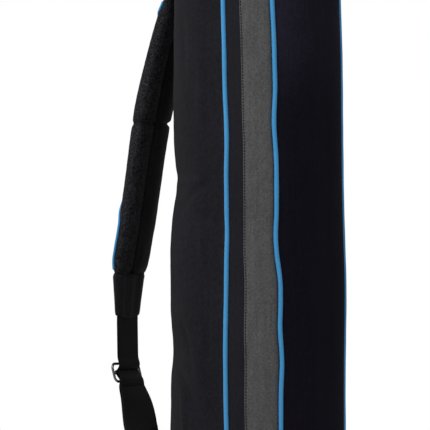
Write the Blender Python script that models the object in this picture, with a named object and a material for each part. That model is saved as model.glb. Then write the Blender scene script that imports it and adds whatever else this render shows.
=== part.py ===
"""A three-ball in-line bowling bag standing on its end: a padded tub with a zipped, side-hinged front door.

The walls follow one family of outlines. Each outline is a rounded rectangle in the X-Z plane, at a depth y.
A place on a wall is given by v, the distance along the side section from the middle of the side (negative to
the front), and by inset, how far inside the outer skin it lies. +Z is up, the door faces -Y, the shoulder strap
is on +Y and the zip runs down the -X side. The origin is the middle of the base plate's underside.
"""

import math

import bmesh
import bpy
import numpy as np
from mathutils import Matrix, Vector

# The bag's shell
BAG_TOP = 0.810
BAG_BOTTOM = 0.006
HALF_WIDTH = 0.117
SIDE_FLAT = 0.016
SIDE_CORNER = HALF_WIDTH - SIDE_FLAT
END_CORNER = 0.050
OUTLINE_CORNER = 0.035
TAPER_PER_METRE = 0.070
TAPER_MIDDLE = 0.420
BAG_AXIS_Y = -0.021
V_END = SIDE_FLAT + SIDE_CORNER * math.pi / 2
GAP = 0.0003

# Wall build-up
COVER_THICK = 0.0013
FOAM_THICK = 0.0037
FOAM_INSET = COVER_THICK + GAP
WALL_THICK = FOAM_INSET + FOAM_THICK

# Seams, as distances v from the middle of the side
V_REAR_PIPING = -0.0266
V_ZIP = -0.0415
V_GREY_EDGE = -0.0529
V_FRONT_PIPING = -0.1022
V_BACK_SEAM = 0.070
PIPING_RADIUS = 0.0031
PIPING_ROOM = PIPING_RADIUS + 0.0004
FRONT_PIPING_ROOM = PIPING_RADIUS + 0.0018
PANEL_LOW = 0.066
PANEL_HIGH = 0.750

# The zip
TAPE_INSET = 0.0004
TAPE_THICK = 0.0009
TAPE_SPLIT = 0.0009
COIL_INSET = 0.0016
COIL_THICK = 0.0022
COIL_WIDTH = 0.0025
SLIDER_Z = 0.764
SLIDER_LENGTH = 0.015
SLIDER_WIDTH = 0.0100
PULL_LENGTH = 0.026

# What lies inside
DIVIDER_THICK = 0.012
END_PAD_THICK = 0.030
END_PAD_INSET = 0.055
CRADLE_THICK = 0.014
CRADLE_HEIGHT = 0.016
CRADLE_REACH = 0.062
RIB_ARC = 0.038
INNER_CLEARANCE = 0.0025

# Base plate and top handle
BASE_WIDTH = 0.160
BASE_DEPTH = 0.088
HANDLE_HALF_SPAN = 0.058
HANDLE_RISE = 0.034
HANDLE_RADIUS = 0.0060
HANDLE_Y = 0.0

# The shoulder strap
WEB_WIDTH = 0.050
WEB_THICK = 0.0024
PAD_WIDTH = 0.070
PAD_THICK = 0.0150
PAD_TOP = 0.742
PAD_BOTTOM = 0.331
SLEEVE_BOTTOM = 0.266
SPARE = 0.001
GLIDE_Z = 0.187
GLIDE_LEAN = 40.0
GLIDE_CROSSING = 0.011
LOOP_RADIUS = 0.0043
LOOP_THICK = 0.0016
LOOP_LENGTH = 0.030
LOOP_FRONT = 0.0042
LOOP_REAR = 0.0068
FOOT_Z = 0.105
RETURN_OFFSET = 0.0062
RETURN_TOP = GLIDE_Z - LOOP_LENGTH - 0.002
RING_Z = 0.050
RING_BAR_Y = BAG_AXIS_Y + 0.131
RING_DEPTH = 0.030
RING_WIRE = 0.0026
WRAP_RADIUS = 0.0064


# ---------------------------------------------------------------- helpers


def clear_scene():
    """Removes whatever the scene holds."""
    for obj in list(bpy.data.objects):
        bpy.data.objects.remove(obj, do_unlink=True)


def material(name, colour, roughness, metallic=0.0):
    """A Principled material of one colour."""
    made = bpy.data.materials.new(name)
    made.use_nodes = True
    shader = made.node_tree.nodes["Principled BSDF"]
    shader.inputs["Base Color"].default_value = (*colour, 1.0)
    shader.inputs["Roughness"].default_value = roughness
    shader.inputs["Metallic"].default_value = metallic
    return made


def add_object(name, data, finish):
    """Links one object with one material."""
    obj = bpy.data.objects.new(name, data)
    bpy.context.scene.collection.objects.link(obj)
    data.materials.append(finish)
    return obj


def mesh_object(name, bm, finish, sharp=35.0):
    """Turns a bmesh into a smooth-shaded object with its sharp edges kept."""
    mesh = bpy.data.meshes.new(name)
    bm.to_mesh(mesh)
    bm.free()
    mesh.shade_smooth()
    mesh.set_sharp_from_angle(angle=math.radians(sharp))
    return add_object(name, mesh, finish)


def tapered(points):
    """Draws points in towards the bag's axis as they rise, and moves the axis to its place."""
    points = np.asarray(points, dtype=float)
    scale = 1.0 + TAPER_PER_METRE * (TAPER_MIDDLE - points[..., 2])
    return np.stack(
        [points[..., 0] * scale, points[..., 1] * scale + BAG_AXIS_Y, points[..., 2]], axis=-1
    )


def station(v, inset):
    """The depth y and half-width of the outline at v."""
    turn = max(abs(v) - SIDE_FLAT, 0.0) / SIDE_CORNER
    flat = max(-SIDE_FLAT, min(SIDE_FLAT, v))
    radius = SIDE_CORNER - inset
    return flat + math.copysign(radius * math.sin(turn), v), SIDE_FLAT + radius * math.cos(turn)


def end_drop(depth, inset):
    """How far the bag's end has rounded away at this depth."""
    radius = END_CORNER - inset
    past = max(abs(depth) - (HALF_WIDTH - END_CORNER), 0.0)
    return radius - math.sqrt(max(radius**2 - past**2, 0.0))


def arc(centre_x, centre_z, radius, start, stop, steps):
    """Points on a circle in the X-Z plane, start and stop in degrees."""
    angles = np.radians(np.linspace(start, stop, steps + 1))
    return [(centre_x + radius * math.cos(a), centre_z + radius * math.sin(a)) for a in angles]


def outline_parts(v, inset, steps=4):
    """The depth and the four corner arcs of one outline, counter-clockwise from the lower right."""
    depth, half = station(v, inset)
    drop = end_drop(depth, inset)
    low = BAG_BOTTOM + inset + drop
    high = BAG_TOP - inset - drop
    radius = (OUTLINE_CORNER - inset) * half / (HALF_WIDTH - inset)
    corners = [
        arc(half - radius, low + radius, radius, -90, 0, steps),
        arc(half - radius, high - radius, radius, 0, 90, steps),
        arc(radius - half, high - radius, radius, 90, 180, steps),
        arc(radius - half, low + radius, radius, 180, 270, steps),
    ]
    return depth, half, corners


def outline(v, inset, span="all", rows=5):
    """Points along an outline: all of it, or the span that the zip or the fabric hinge takes, or an end."""
    depth, half, (low_right, high_right, high_left, low_left) = outline_parts(v, inset)
    levels = np.linspace(PANEL_LOW, PANEL_HIGH, rows)
    zip_start, zip_end = ((x - GAP, z) for x, z in (high_right[-1], low_right[0]))
    right = [(half, z) for z in levels]
    left = [(-half, z) for z in levels[::-1]]
    flat = {
        "all": low_right + right + high_right + high_left + left + low_left,
        "hinge": low_right + right + high_right,
        "zip": [zip_start] + high_left + left + low_left + [zip_end],
        "top": right[-1:] + high_right + high_left + left[:1],
        "bottom": left[-1:] + low_left + low_right + right[:1],
        "left": left,
        "right": right,
    }[span]
    return [(x, depth, z) for x, z in flat]


def surface(grid):
    """A bmesh of the quads between rows of points."""
    bm = bmesh.new()
    rows = [[bm.verts.new(Vector(p)) for p in row] for row in grid]
    for upper, lower in zip(rows[:-1], rows[1:]):
        for i in range(len(upper) - 1):
            bm.faces.new((upper[i], upper[i + 1], lower[i + 1], lower[i]))
    return bm


def wall(name, grid_at, inset, thickness, finish, around=False, closed_end=False):
    """A closed layer of the wall between two insets; grid_at gives the rows of points at an inset."""
    bm = bmesh.new()
    faces = []
    for depth in (inset, inset + thickness):
        faces.append([[bm.verts.new(Vector(p)) for p in row] for row in tapered(grid_at(depth))])
    outer, inner = faces
    rows, last = len(outer), len(outer[0])
    for grid in faces:
        for upper, lower in zip(grid[:-1], grid[1:]):
            for i in range(last if around else last - 1):
                j = (i + 1) % last
                bm.faces.new((upper[i], upper[j], lower[j], lower[i]))
        if closed_end:
            bm.faces.new(grid[-1])
    for row in (0,) if closed_end else (0, rows - 1):
        for i in range(last if around else last - 1):
            j = (i + 1) % last
            bm.faces.new((outer[row][i], outer[row][j], inner[row][j], inner[row][i]))
    if not around:
        for i in (0, last - 1):
            for row in range(rows - 1):
                bm.faces.new((outer[row][i], outer[row + 1][i], inner[row + 1][i], inner[row][i]))
        if closed_end:
            bm.faces.new((outer[-1][0], outer[-1][-1], inner[-1][-1], inner[-1][0]))
    bmesh.ops.recalc_face_normals(bm, faces=bm.faces)
    return mesh_object(name, bm, finish)


def thicken(obj, thickness):
    """Gives an open surface its thickness behind its faces."""
    solid = obj.modifiers.new("thickness", "SOLIDIFY")
    solid.thickness = thickness
    solid.offset = -1.0
    solid.use_even_offset = True


def tube(name, points, radius, finish, cyclic=False, resolution=1):
    """A round bar along a list of points, with filled ends."""
    data = bpy.data.curves.new(name, "CURVE")
    data.dimensions = "3D"
    data.bevel_depth = radius
    data.bevel_resolution = resolution
    data.use_fill_caps = True
    spline = data.splines.new("POLY")
    spline.points.add(len(points) - 1)
    for point, place in zip(spline.points, points):
        point.co = (*place, 1.0)
    spline.use_cyclic_u = cyclic
    return add_object(name, data, finish)


def plate(name, outlines, thickness, finish, bevel=0.0):
    """A flat plate in the local X-Y plane whose first outline is its edge and the others its holes."""
    data = bpy.data.curves.new(name, "CURVE")
    data.dimensions = "2D"
    data.fill_mode = "BOTH"
    data.extrude = thickness / 2 - bevel
    data.bevel_depth = bevel
    data.bevel_resolution = 0
    data.offset = -bevel
    for points in outlines:
        spline = data.splines.new("POLY")
        spline.points.add(len(points) - 1)
        for point, (x, y) in zip(spline.points, points):
            point.co = (x, y, 0.0, 1.0)
        spline.use_cyclic_u = True
    return add_object(name, data, finish)


def rounded_rectangle(width, height, radius, steps=4, centre=(0.0, 0.0)):
    """The outline of a rectangle with round corners."""
    x, y = width / 2 - radius, height / 2 - radius
    places = [(x, -y, -90), (x, y, 0), (-x, y, 90), (-x, -y, 180)]
    found = []
    for corner_x, corner_y, start in places:
        found += arc(centre[0] + corner_x, centre[1] + corner_y, radius, start, start + 90, steps)
    return found


def box(bm, size, centre):
    """Adds a box to a bmesh."""
    shift = Matrix.Translation(centre) @ Matrix.Diagonal((*size, 1.0))
    bmesh.ops.create_cube(bm, size=1.0, matrix=shift)


def united(name, pieces, finish):
    """Joins the first piece with the others by Boolean unions; the others are guides that aren't kept."""
    whole = pieces[0]
    for other in pieces[1:]:
        join = whole.modifiers.new("join", "BOOLEAN")
        join.operation = "UNION"
        join.object = other
        join.solver = "EXACT"
        other.hide_render = True
        other.display_type = "WIRE"
    whole.name = name
    whole.data.materials.clear()
    whole.data.materials.append(finish)
    return whole


# ---------------------------------------------------------------- the shell


FABRIC = material("black_polyester", (0.016, 0.015, 0.019), 0.75)
GREY_FABRIC = material("grey_polyester", (0.080, 0.080, 0.080), 0.8)
DOOR_FABRIC = material("ribbed_black_polyester", (0.007, 0.007, 0.009), 0.6)
PIPING_FINISH = material("blue_piping", (0.070, 0.342, 0.672), 0.45)
FOAM_FINISH = material("grey_foam", (0.12, 0.12, 0.125), 0.9)
WEBBING_FINISH = material("black_webbing", (0.006, 0.006, 0.007), 0.65)
MESH_FINISH = material("spacer_mesh", (0.03, 0.03, 0.035), 0.85)
METAL_FINISH = material("black_nickel", (0.35, 0.35, 0.36), 0.25, 1.0)
COIL_FINISH = material("nylon_coil", (0.012, 0.012, 0.014), 0.4)
RUBBER_FINISH = material("black_rubber", (0.02, 0.02, 0.02), 0.8)

TUB_STATIONS = [V_REAR_PIPING + PIPING_ROOM, -SIDE_FLAT, SIDE_FLAT, 0.045, V_BACK_SEAM]
CAP_STATIONS = TUB_STATIONS + [0.095, 0.120, 0.145, 0.160, V_END]
DOOR_STATIONS = [V_FRONT_PIPING - FRONT_PIPING_ROOM, -0.120, -0.135, -0.150, -0.163, -V_END]
GREY_STATIONS = [V_GREY_EDGE, -0.068, -0.083, V_FRONT_PIPING + FRONT_PIPING_ROOM]


def side_grid(stations, inset, side, rows=4):
    """Rows of points on the -X side (side -1) or the +X side (side 1), between the bag's two ends."""
    levels = np.linspace(PANEL_LOW + GAP, PANEL_HIGH - GAP, rows)
    grid = []
    for v in stations:
        depth, half = station(v, inset)
        grid.append([(side * half, depth, z) for z in levels])
    return grid


def back_grid(inset, low, high, seam=V_BACK_SEAM + GAP, rows=4, steps=6):
    """The back of the tub between two heights, from the -X seam round to the +X one."""
    left = [station(v, inset) for v in np.linspace(seam, V_END, steps + 1)]
    section = [(-half, depth) for depth, half in left] + [(half, depth) for depth, half in left[::-1]]
    levels = np.linspace(low, high, rows)
    return [[(x, y, z) for z in levels] for x, y in section]


def make_tub_layer(kind, inset, thickness, finish):
    """One layer of the tub: back, two sides and two ends that take in the rounded corners."""
    wall(f"back_{kind}", lambda d: back_grid(d, PANEL_LOW + GAP, PANEL_HIGH - GAP), inset, thickness, finish)
    for side, word in ((-1, "left"), (1, "right")):
        wall(f"{word}_side_{kind}", lambda d: side_grid(TUB_STATIONS, d, side), inset, thickness, finish)
    for span in ("top", "bottom"):
        wall(f"{span}_end_{kind}", lambda d: [outline(v, d, span) for v in CAP_STATIONS],
             inset, thickness, finish, closed_end=True)


def make_door_layers():
    """The door's cover, its grey gusset, and the foam boards behind them."""
    for name, stations, inset, thickness, finish, dome in (
        ("front_cover", DOOR_STATIONS, 0.0, COVER_THICK, DOOR_FABRIC, True),
        ("front_foam", DOOR_STATIONS, FOAM_INSET, FOAM_THICK, FOAM_FINISH, True),
        ("grey_gusset", GREY_STATIONS, 0.0, COVER_THICK, GREY_FABRIC, False),
    ):
        wall(name, lambda d: [outline(v, d) for v in stations], inset, thickness, finish,
             around=True, closed_end=dome)
    for side, word in ((-1, "left"), (1, "right")):
        wall(f"door_{word}_foam", lambda d: side_grid(GREY_STATIONS, d, side),
             FOAM_INSET, FOAM_THICK, FOAM_FINISH)
    for span in ("top", "bottom"):
        wall(f"door_{span}_foam", lambda d: [outline(v, d, span) for v in GREY_STATIONS],
             FOAM_INSET, FOAM_THICK, FOAM_FINISH)


def make_piping(name, v):
    """A round cord in a fabric sleeve, sewn into the seam all round one outline."""
    points = tapered(outline(v, GAP, rows=14))
    tube(name, points, PIPING_RADIUS, PIPING_FINISH, cyclic=True)


# ---------------------------------------------------------------- zip and fabric hinge


def strip(name, v_from, v_to, inset, thickness, span, finish, rows=5):
    """A narrow band along a span of the outline."""
    wall(name, lambda d: [outline(v, d, span, rows) for v in (v_from, v_to)], inset, thickness, finish)


def make_zip():
    """Two tapes and two coils along the top, the -X side and the bottom."""
    rear_edge = V_REAR_PIPING - PIPING_ROOM
    front_edge = V_GREY_EDGE + GAP
    strip("rear_zip_tape", rear_edge, V_ZIP + TAPE_SPLIT, TAPE_INSET, TAPE_THICK, "zip", FABRIC)
    strip("front_zip_tape", V_ZIP - TAPE_SPLIT, front_edge, TAPE_INSET, TAPE_THICK, "zip", FABRIC)
    for word, sign in (("rear", 1), ("front", -1)):
        inner = V_ZIP + sign * TAPE_SPLIT
        outer = inner + sign * COIL_WIDTH
        strip(f"{word}_zip_coil", inner, outer, COIL_INSET, COIL_THICK, "zip", COIL_FINISH)
    strip("rear_hinge_fabric", rear_edge, V_ZIP + GAP, TAPE_INSET, TAPE_THICK, "hinge", FABRIC)
    strip("front_hinge_fabric", V_ZIP - GAP, front_edge, TAPE_INSET, TAPE_THICK, "hinge", FABRIC)


def wall_frame(v, z, side):
    """A frame on the side wall: local X outwards, Y towards the front, Z up along the tapered wall."""
    depth, half = station(v, 0.0)
    here, above = (Vector(tapered((side * half, depth, level))) for level in (z, z + 0.1))
    up = (above - here).normalized()
    turn = math.copysign(max(abs(v) - SIDE_FLAT, 0.0) / SIDE_CORNER, v)
    normal = Vector((side * math.cos(turn), math.sin(turn), 0.0))
    forward = up.cross(normal).normalized()
    if forward.y > 0:
        forward = -forward
    normal = (normal - up * normal.dot(up)).normalized()
    return here, normal, forward, up


def framed(here, x_axis, y_axis, z_axis):
    """The matrix of a frame."""
    turn = Matrix((x_axis, y_axis, z_axis)).transposed()
    return Matrix.Translation(here) @ turn.to_4x4()


CROWN_RISE = 0.0034
PLATE_OUT = 0.0014
PULL_BAR = 0.0013


def make_slider():
    """The slider's two plates and neck, its crown, and the pull that hangs from the crown."""
    here, normal, forward, up = wall_frame(V_ZIP, SLIDER_Z, -1)
    side = up.cross(normal)
    frame = framed(here, normal, side, up)
    bm = bmesh.new()
    half = SLIDER_WIDTH / 2
    neck = 0.0005
    profile = [
        (PLATE_OUT, -half), (PLATE_OUT, half), (-0.0001, half), (-0.0001, neck),
        (-0.0042, neck), (-0.0042, half), (-0.0053, half), (-0.0053, -half),
        (-0.0042, -half), (-0.0042, -neck), (-0.0001, -neck), (-0.0001, -half),
    ]
    base = [bm.verts.new((x, y, -SLIDER_LENGTH / 2)) for x, y in profile]
    face = bm.faces.new(base)
    raised = bmesh.ops.extrude_face_region(bm, geom=[face])
    moved = [v for v in raised["geom"] if isinstance(v, bmesh.types.BMVert)]
    bmesh.ops.translate(bm, verts=moved, vec=(0.0, 0.0, SLIDER_LENGTH))
    bmesh.ops.recalc_face_normals(bm, faces=bm.faces)
    body = mesh_object("zip_slider", bm, METAL_FINISH)
    body.matrix_world = frame
    crown = bmesh.new()
    foot = PLATE_OUT - 0.0006
    box(crown, (CROWN_RISE, 0.0020, 0.0012), (foot + CROWN_RISE / 2, 0.0, 0.0046))
    box(crown, (CROWN_RISE, 0.0020, 0.0012), (foot + CROWN_RISE / 2, 0.0, -0.0046))
    posts = mesh_object("crown_posts", crown, METAL_FINISH)
    bridge = bmesh.new()
    box(bridge, (0.0010, 0.0020, 0.0104), (foot + CROWN_RISE - 0.0002, 0.0, 0.0))
    bar = mesh_object("crown_bridge", bridge, METAL_FINISH)
    for guide in (posts, bar):
        guide.matrix_world = frame
    united("zip_slider", [body, posts, bar], METAL_FINISH)
    lowest = -PULL_LENGTH / 2 + PULL_BAR / 2
    outer = rounded_rectangle(0.0074, PULL_LENGTH, 0.0014, centre=(0.0, lowest))
    eye = rounded_rectangle(0.0040, 0.0050, 0.0008, 2, centre=(0.0, -0.0032))
    hole = rounded_rectangle(0.0030, 0.0090, 0.0012, 3, centre=(0.0, -PULL_LENGTH + 0.0080))
    pull = plate("zip_pull", [outer, eye, hole], PULL_BAR, METAL_FINISH)
    pivot = here + normal * (PLATE_OUT + 0.0003 + PULL_BAR / 2) - up * 0.0015
    pull.matrix_world = framed(pivot, side, up, side.cross(up))


# ---------------------------------------------------------------- inside, base and handle


def section_plate(name, z, thickness, inset, finish):
    """A board across the inside of the bag."""
    half_side = [station(v, inset) for v in np.linspace(-V_END, V_END, 17)]
    ring = [(half, depth) for depth, half in half_side]
    ring += [(-half, depth) for depth, half in half_side[::-1]]
    bm = bmesh.new()
    face = bm.faces.new([bm.verts.new(Vector(tapered((x, y, z)))) for x, y in ring])
    raised = bmesh.ops.extrude_face_region(bm, geom=[face])
    moved = [v for v in raised["geom"] if isinstance(v, bmesh.types.BMVert)]
    bmesh.ops.translate(bm, verts=moved, vec=(0.0, 0.0, thickness))
    bmesh.ops.recalc_face_normals(bm, faces=bm.faces)
    return mesh_object(name, bm, finish)


def inner_levels():
    """The heights where the three ball cells begin, and the height of one cell."""
    low = BAG_BOTTOM + WALL_THICK + END_PAD_THICK + 2 * GAP
    high = BAG_TOP - WALL_THICK - END_PAD_THICK - 2 * GAP
    cell = (high - low - 2 * DIVIDER_THICK) / 3
    return [low + i * (cell + DIVIDER_THICK) for i in range(3)], cell


def make_inside():
    """End pads, two dividers between the three cells, and two cradle ribs behind each ball."""
    starts, cell = inner_levels()
    board = WALL_THICK + INNER_CLEARANCE
    section_plate("lower_end_pad", starts[0] - END_PAD_THICK - GAP, END_PAD_THICK, END_PAD_INSET, FOAM_FINISH)
    section_plate("upper_end_pad", starts[2] + cell + GAP, END_PAD_THICK, END_PAD_INSET, FOAM_FINISH)
    for i, word in enumerate(("lower", "upper")):
        section_plate(f"{word}_divider", starts[i + 1] - DIVIDER_THICK, DIVIDER_THICK, board, FOAM_FINISH)
    for i, word in enumerate(("lower", "middle", "upper")):
        centre = starts[i] + cell / 2
        make_rib(f"{word}_cell_low_rib", centre - CRADLE_REACH)
        make_rib(f"{word}_cell_high_rib", centre + CRADLE_REACH)


def make_rib(name, centre):
    """A foam rib on the back wall, which a ball leans on when the bag lies down."""
    low, high = centre - CRADLE_HEIGHT / 2, centre + CRADLE_HEIGHT / 2
    wall(name, lambda d: back_grid(d, low, high, seam=V_END - RIB_ARC, rows=2, steps=2),
         WALL_THICK + GAP, CRADLE_THICK, FOAM_FINISH)


def make_base():
    """The moulded base plate under the tub, which is what the bag stands on."""
    outer = rounded_rectangle(BASE_WIDTH, BASE_DEPTH, 0.018)
    base = plate("base_plate", [outer], BAG_BOTTOM - GAP, RUBBER_FINISH, bevel=0.0012)
    base.location = (0.0, 0.0, (BAG_BOTTOM - GAP) / 2)


def make_handle():
    """The rolled grab handle on the top end, and the two patches that it is sewn to."""
    pivot_z = BAG_TOP + 0.0025 + HANDLE_RADIUS
    angles = np.radians(np.linspace(0, 180, 13))
    points = [(-HANDLE_HALF_SPAN * math.cos(a), HANDLE_Y, pivot_z + HANDLE_RISE * math.sin(a) ** 0.7)
              for a in angles]
    web = tube("handle_roll", points, HANDLE_RADIUS, FABRIC, resolution=2)
    web.data.use_fill_caps = True
    for side, word in ((-1, "left"), (1, "right")):
        outer = rounded_rectangle(0.030, 0.034, 0.005)
        patch = plate(f"handle_{word}_patch", [outer], 0.0018, FABRIC)
        patch.location = (side * (HANDLE_HALF_SPAN + 0.004), HANDLE_Y, BAG_TOP + GAP + 0.0009)


# ---------------------------------------------------------------- shoulder strap


def smooth_path(knots, count):
    """A Catmull-Rom curve through the knots, sampled evenly in its parameter."""
    knots = np.asarray(knots, dtype=float)
    padded = np.vstack([2 * knots[0] - knots[1], knots, 2 * knots[-1] - knots[-2]])
    found = []
    for t in np.linspace(0, len(knots) - 1, count):
        i = min(int(t), len(knots) - 2)
        f = t - i
        a, b, c, d = padded[i : i + 4]
        found.append(0.5 * (2 * b + (c - a) * f + (2 * a - 5 * b + 4 * c - d) * f**2
                            + (3 * b - a - 3 * c + d) * f**3))
    return np.array(found)


def strap_middle(z):
    """The strap's distance behind the bag's axis at a height, as it hangs from the top and bows outwards."""
    heights = [0.105, 0.119, 0.133, 0.147, 0.160, 0.171, 0.182, 0.266, 0.331, 0.413, 0.530, 0.648, 0.742]
    depths = [0.2095, 0.2118, 0.215, 0.2187, 0.2235, 0.2297, 0.2322, 0.2335, 0.2315, 0.216, 0.1955, 0.168,
              0.1365]
    return float(np.interp(z, heights, depths)) + BAG_AXIS_Y


def strap_line(low, high, count):
    """Points down the middle of the strap between two heights, rounded by a short running mean."""
    levels = np.linspace(high, low, count)
    reach = np.linspace(-0.010, 0.010, 7)
    depths = [np.mean([strap_middle(z + r) for r in reach]) for z in levels]
    return np.array([(0.0, y, z) for y, z in zip(depths, levels)])


def band(name, path, width, thickness, finish, twist=(0.0, 0.0)):
    """A flat strap: a line across X at each point of a path in the Y-Z plane, thickened about its middle."""
    path = np.asarray(path, dtype=float)
    turns = np.radians(np.linspace(*twist, len(path)))
    tangent = np.gradient(path, axis=0)
    tangent /= np.linalg.norm(tangent, axis=1)[:, None]
    across = np.stack([np.cos(turns), np.sin(turns), np.zeros(len(path))], axis=1)
    across -= tangent * np.sum(across * tangent, axis=1)[:, None]
    across /= np.linalg.norm(across, axis=1)[:, None]
    grid = np.stack([path - across * width / 2, path + across * width / 2], axis=1)
    obj = mesh_object(name, surface(grid), finish)
    thicken(obj, thickness)
    obj.modifiers["thickness"].offset = 0.0
    return obj


def pad_section(width, thickness, side):
    """Half of the pad's section on the side facing the bag (-1) or away from it (1): two lobes or a flat crown."""
    across = np.linspace(-1, 1, 9)
    if side > 0:
        rise = 0.30 * np.sqrt(np.clip(1 - across**4, 0, 1))
    else:
        rise = -0.62 * np.sqrt(np.clip(1 - (2 * np.abs(across) - 1) ** 2, 0, 1)) - 0.06
    return across * width / 2, rise * thickness


def make_pad():
    """The shoulder pad: an outer cover and a two-lobed lining, sewn edge to edge, with piping round the cover."""
    path = strap_line(PAD_BOTTOM, PAD_TOP, 9)
    tangent = np.gradient(path, axis=0)
    tangent /= np.linalg.norm(tangent, axis=1)[:, None]
    away = np.stack([np.zeros(len(path)), -tangent[:, 2], tangent[:, 1]], axis=1)
    end_shape = [0.86, 0.97, 1, 1, 1, 1, 1, 0.97, 0.86]
    for name, side, finish in (("pad_cover", 1, FABRIC), ("pad_lining", -1, MESH_FINISH)):
        bm = bmesh.new()
        rings = []
        for centre, out, shape in zip(path, away, end_shape):
            xs, rise = pad_section(PAD_WIDTH * shape, PAD_THICK * shape, side)
            seam = out * side * GAP / 2
            crown = [centre + seam + np.array((x, 0, 0)) + out * r for x, r in zip(xs, rise)]
            floor = [centre + seam + np.array((x, 0, 0)) for x in (xs[-1], xs[0])]
            crown[0] = crown[0] + out * side * 0.001
            crown[-1] = crown[-1] + out * side * 0.001
            rings.append([bm.verts.new(Vector(p)) for p in crown + floor])
        for upper, lower in zip(rings[:-1], rings[1:]):
            for i in range(len(upper)):
                j = (i + 1) % len(upper)
                bm.faces.new((upper[i], upper[j], lower[j], lower[i]))
        bm.faces.new(rings[0])
        bm.faces.new(rings[-1])
        bmesh.ops.recalc_face_normals(bm, faces=bm.faces)
        mesh_object(name, bm, finish)
    edge = PAD_WIDTH / 2 + 0.0018
    left = [p + a * 0.002 + np.array((-edge * s, 0, 0)) for p, a, s in zip(path, away, end_shape)]
    right = [p + a * 0.002 + np.array((edge * s, 0, 0)) for p, a, s in zip(path, away, end_shape)]
    tube("pad_left_piping", left, 0.0015, PIPING_FINISH)
    tube("pad_right_piping", right, 0.0015, PIPING_FINISH)


def ring_frame():
    """The ring's outer rod, the direction of the strap above it, and the direction square to that."""
    rod = np.array((0.0, RING_BAR_Y + RING_DEPTH, RING_Z))
    along = strap_line(FOOT_Z, FOOT_Z + 0.01, 2)[-1] - rod
    along /= np.linalg.norm(along)
    return rod, along, np.array((0.0, along[2], -along[1]))


def make_strap():
    """Sleeves at the pad's ends, the webbing that runs through the tri-glide, and its return from the ring."""
    band("pad_lower_sleeve", strap_line(SLEEVE_BOTTOM, PAD_BOTTOM - SPARE, 4), 0.055, 0.0060, FABRIC)
    band("pad_upper_sleeve", strap_line(PAD_TOP + SPARE, PAD_TOP + 0.012, 2), 0.055, 0.0060, FABRIC)
    rod, along, out = ring_frame()
    outer, inner = rod + out * WRAP_RADIUS, rod - out * WRAP_RADIUS
    run = strap_line(FOOT_Z, SLEEVE_BOTTOM - SPARE, 14)
    reach = [outer + along * 0.026, outer + along * 0.0012]
    band("main_webbing", np.vstack([run, reach]), WEB_WIDTH, WEB_THICK, WEBBING_FINISH)
    angles = np.radians(np.linspace(0, 180, 6))
    turn = [rod + WRAP_RADIUS * (math.cos(a) * out - math.sin(a) * along) for a in angles]
    rise = strap_line(FOOT_Z, RETURN_TOP, 5)[::-1]
    rise[:, 1] -= RETURN_OFFSET
    path = np.vstack([turn, [inner + along * 0.024], rise])
    band("return_webbing", path, WEB_WIDTH, WEB_THICK, WEBBING_FINISH)


def make_upper_end():
    """The webbing that leaves the pad's upper end, rides over the top edge and is sewn down under a patch."""
    knots = [(0.0, strap_middle(PAD_TOP + 0.016) - 0.004, PAD_TOP + 0.018),
             (0.0, BAG_AXIS_Y + 0.1150, 0.774),
             (0.0, BAG_AXIS_Y + 0.1075, 0.7930),
             (0.0, BAG_AXIS_Y + 0.0930, 0.8068),
             (0.0, BAG_AXIS_Y + 0.0720, 0.8120),
             (0.0, BAG_AXIS_Y + 0.0500, 0.8120)]
    band("upper_webbing", smooth_path(knots, 16), WEB_WIDTH, WEB_THICK, WEBBING_FINISH)
    patch = plate("upper_anchor_patch", [rounded_rectangle(0.062, 0.030, 0.005)], 0.0014, FABRIC)
    patch.location = (0.0, BAG_AXIS_Y + 0.062, 0.8148)


def make_glide():
    """The metal tri-glide, leaning so that the webbing crosses its upper slot, and the loop on its middle bar."""
    outer = rounded_rectangle(0.060, 0.040, 0.006)
    slots = [rounded_rectangle(0.0522, 0.0125, 0.002, 2, centre=(0.0, s * 0.00915)) for s in (-1, 1)]
    glide = plate("tri_glide", [outer, *slots], 0.0032, METAL_FINISH, bevel=0.0008)
    lean = math.radians(GLIDE_LEAN)
    crossing = np.array((0.0, math.sin(lean), math.cos(lean))) * GLIDE_CROSSING
    web_z = GLIDE_Z + crossing[2]
    centre = np.array((0.0, strap_line(web_z, web_z + 0.01, 2)[-1][1] - crossing[1], GLIDE_Z))
    glide.matrix_world = Matrix.Translation(centre) @ Matrix.Rotation(math.pi / 2 - lean, 4, "X")
    angles = np.radians(np.linspace(200, -20, 9))
    turn = [centre + LOOP_RADIUS * np.array((0.0, -math.cos(a), math.sin(a))) for a in angles]
    tail = strap_line(GLIDE_Z - LOOP_LENGTH, GLIDE_Z - 0.014, 3)
    front, rear = tail - (0.0, LOOP_FRONT, 0.0), tail - (0.0, LOOP_REAR, 0.0)
    band("bar_loop", np.vstack([rear[::-1], turn[::-1], front]), WEB_WIDTH, LOOP_THICK, WEBBING_FINISH)


def make_ring():
    """The D-ring that the strap's lower loop passes, and the tab that holds its straight bar."""
    half, y, reach, corner = 0.032, RING_BAR_Y, RING_DEPTH, 0.0045
    right = [(half, y), (half, y + 0.7 * reach), (half - 0.35 * corner, y + reach - 0.35 * corner),
             (half - corner, y + reach)]
    points = [(x, depth, RING_Z) for x, depth in right + [(-x, depth) for x, depth in right[::-1]]]
    tube("lower_ring", points, RING_WIRE, METAL_FINISH, cyclic=True)
    wall_y = Vector(tapered((0.0, HALF_WIDTH, RING_Z))).y + GAP + 0.0013
    bar = np.array((0.0, y, RING_Z))
    turn = [bar + 0.0056 * np.array((0.0, math.sin(a), math.cos(a))) for a in np.radians([0, 45, 90, 135, 180])]
    path = np.vstack([[(0.0, wall_y, RING_Z + 0.034)], [(0.0, wall_y, RING_Z + 0.016)],
                      [(0.0, wall_y + 0.003, RING_Z + 0.008)], turn])
    band("lower_anchor_tab", path, WEB_WIDTH, 0.0020, WEBBING_FINISH)


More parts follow.
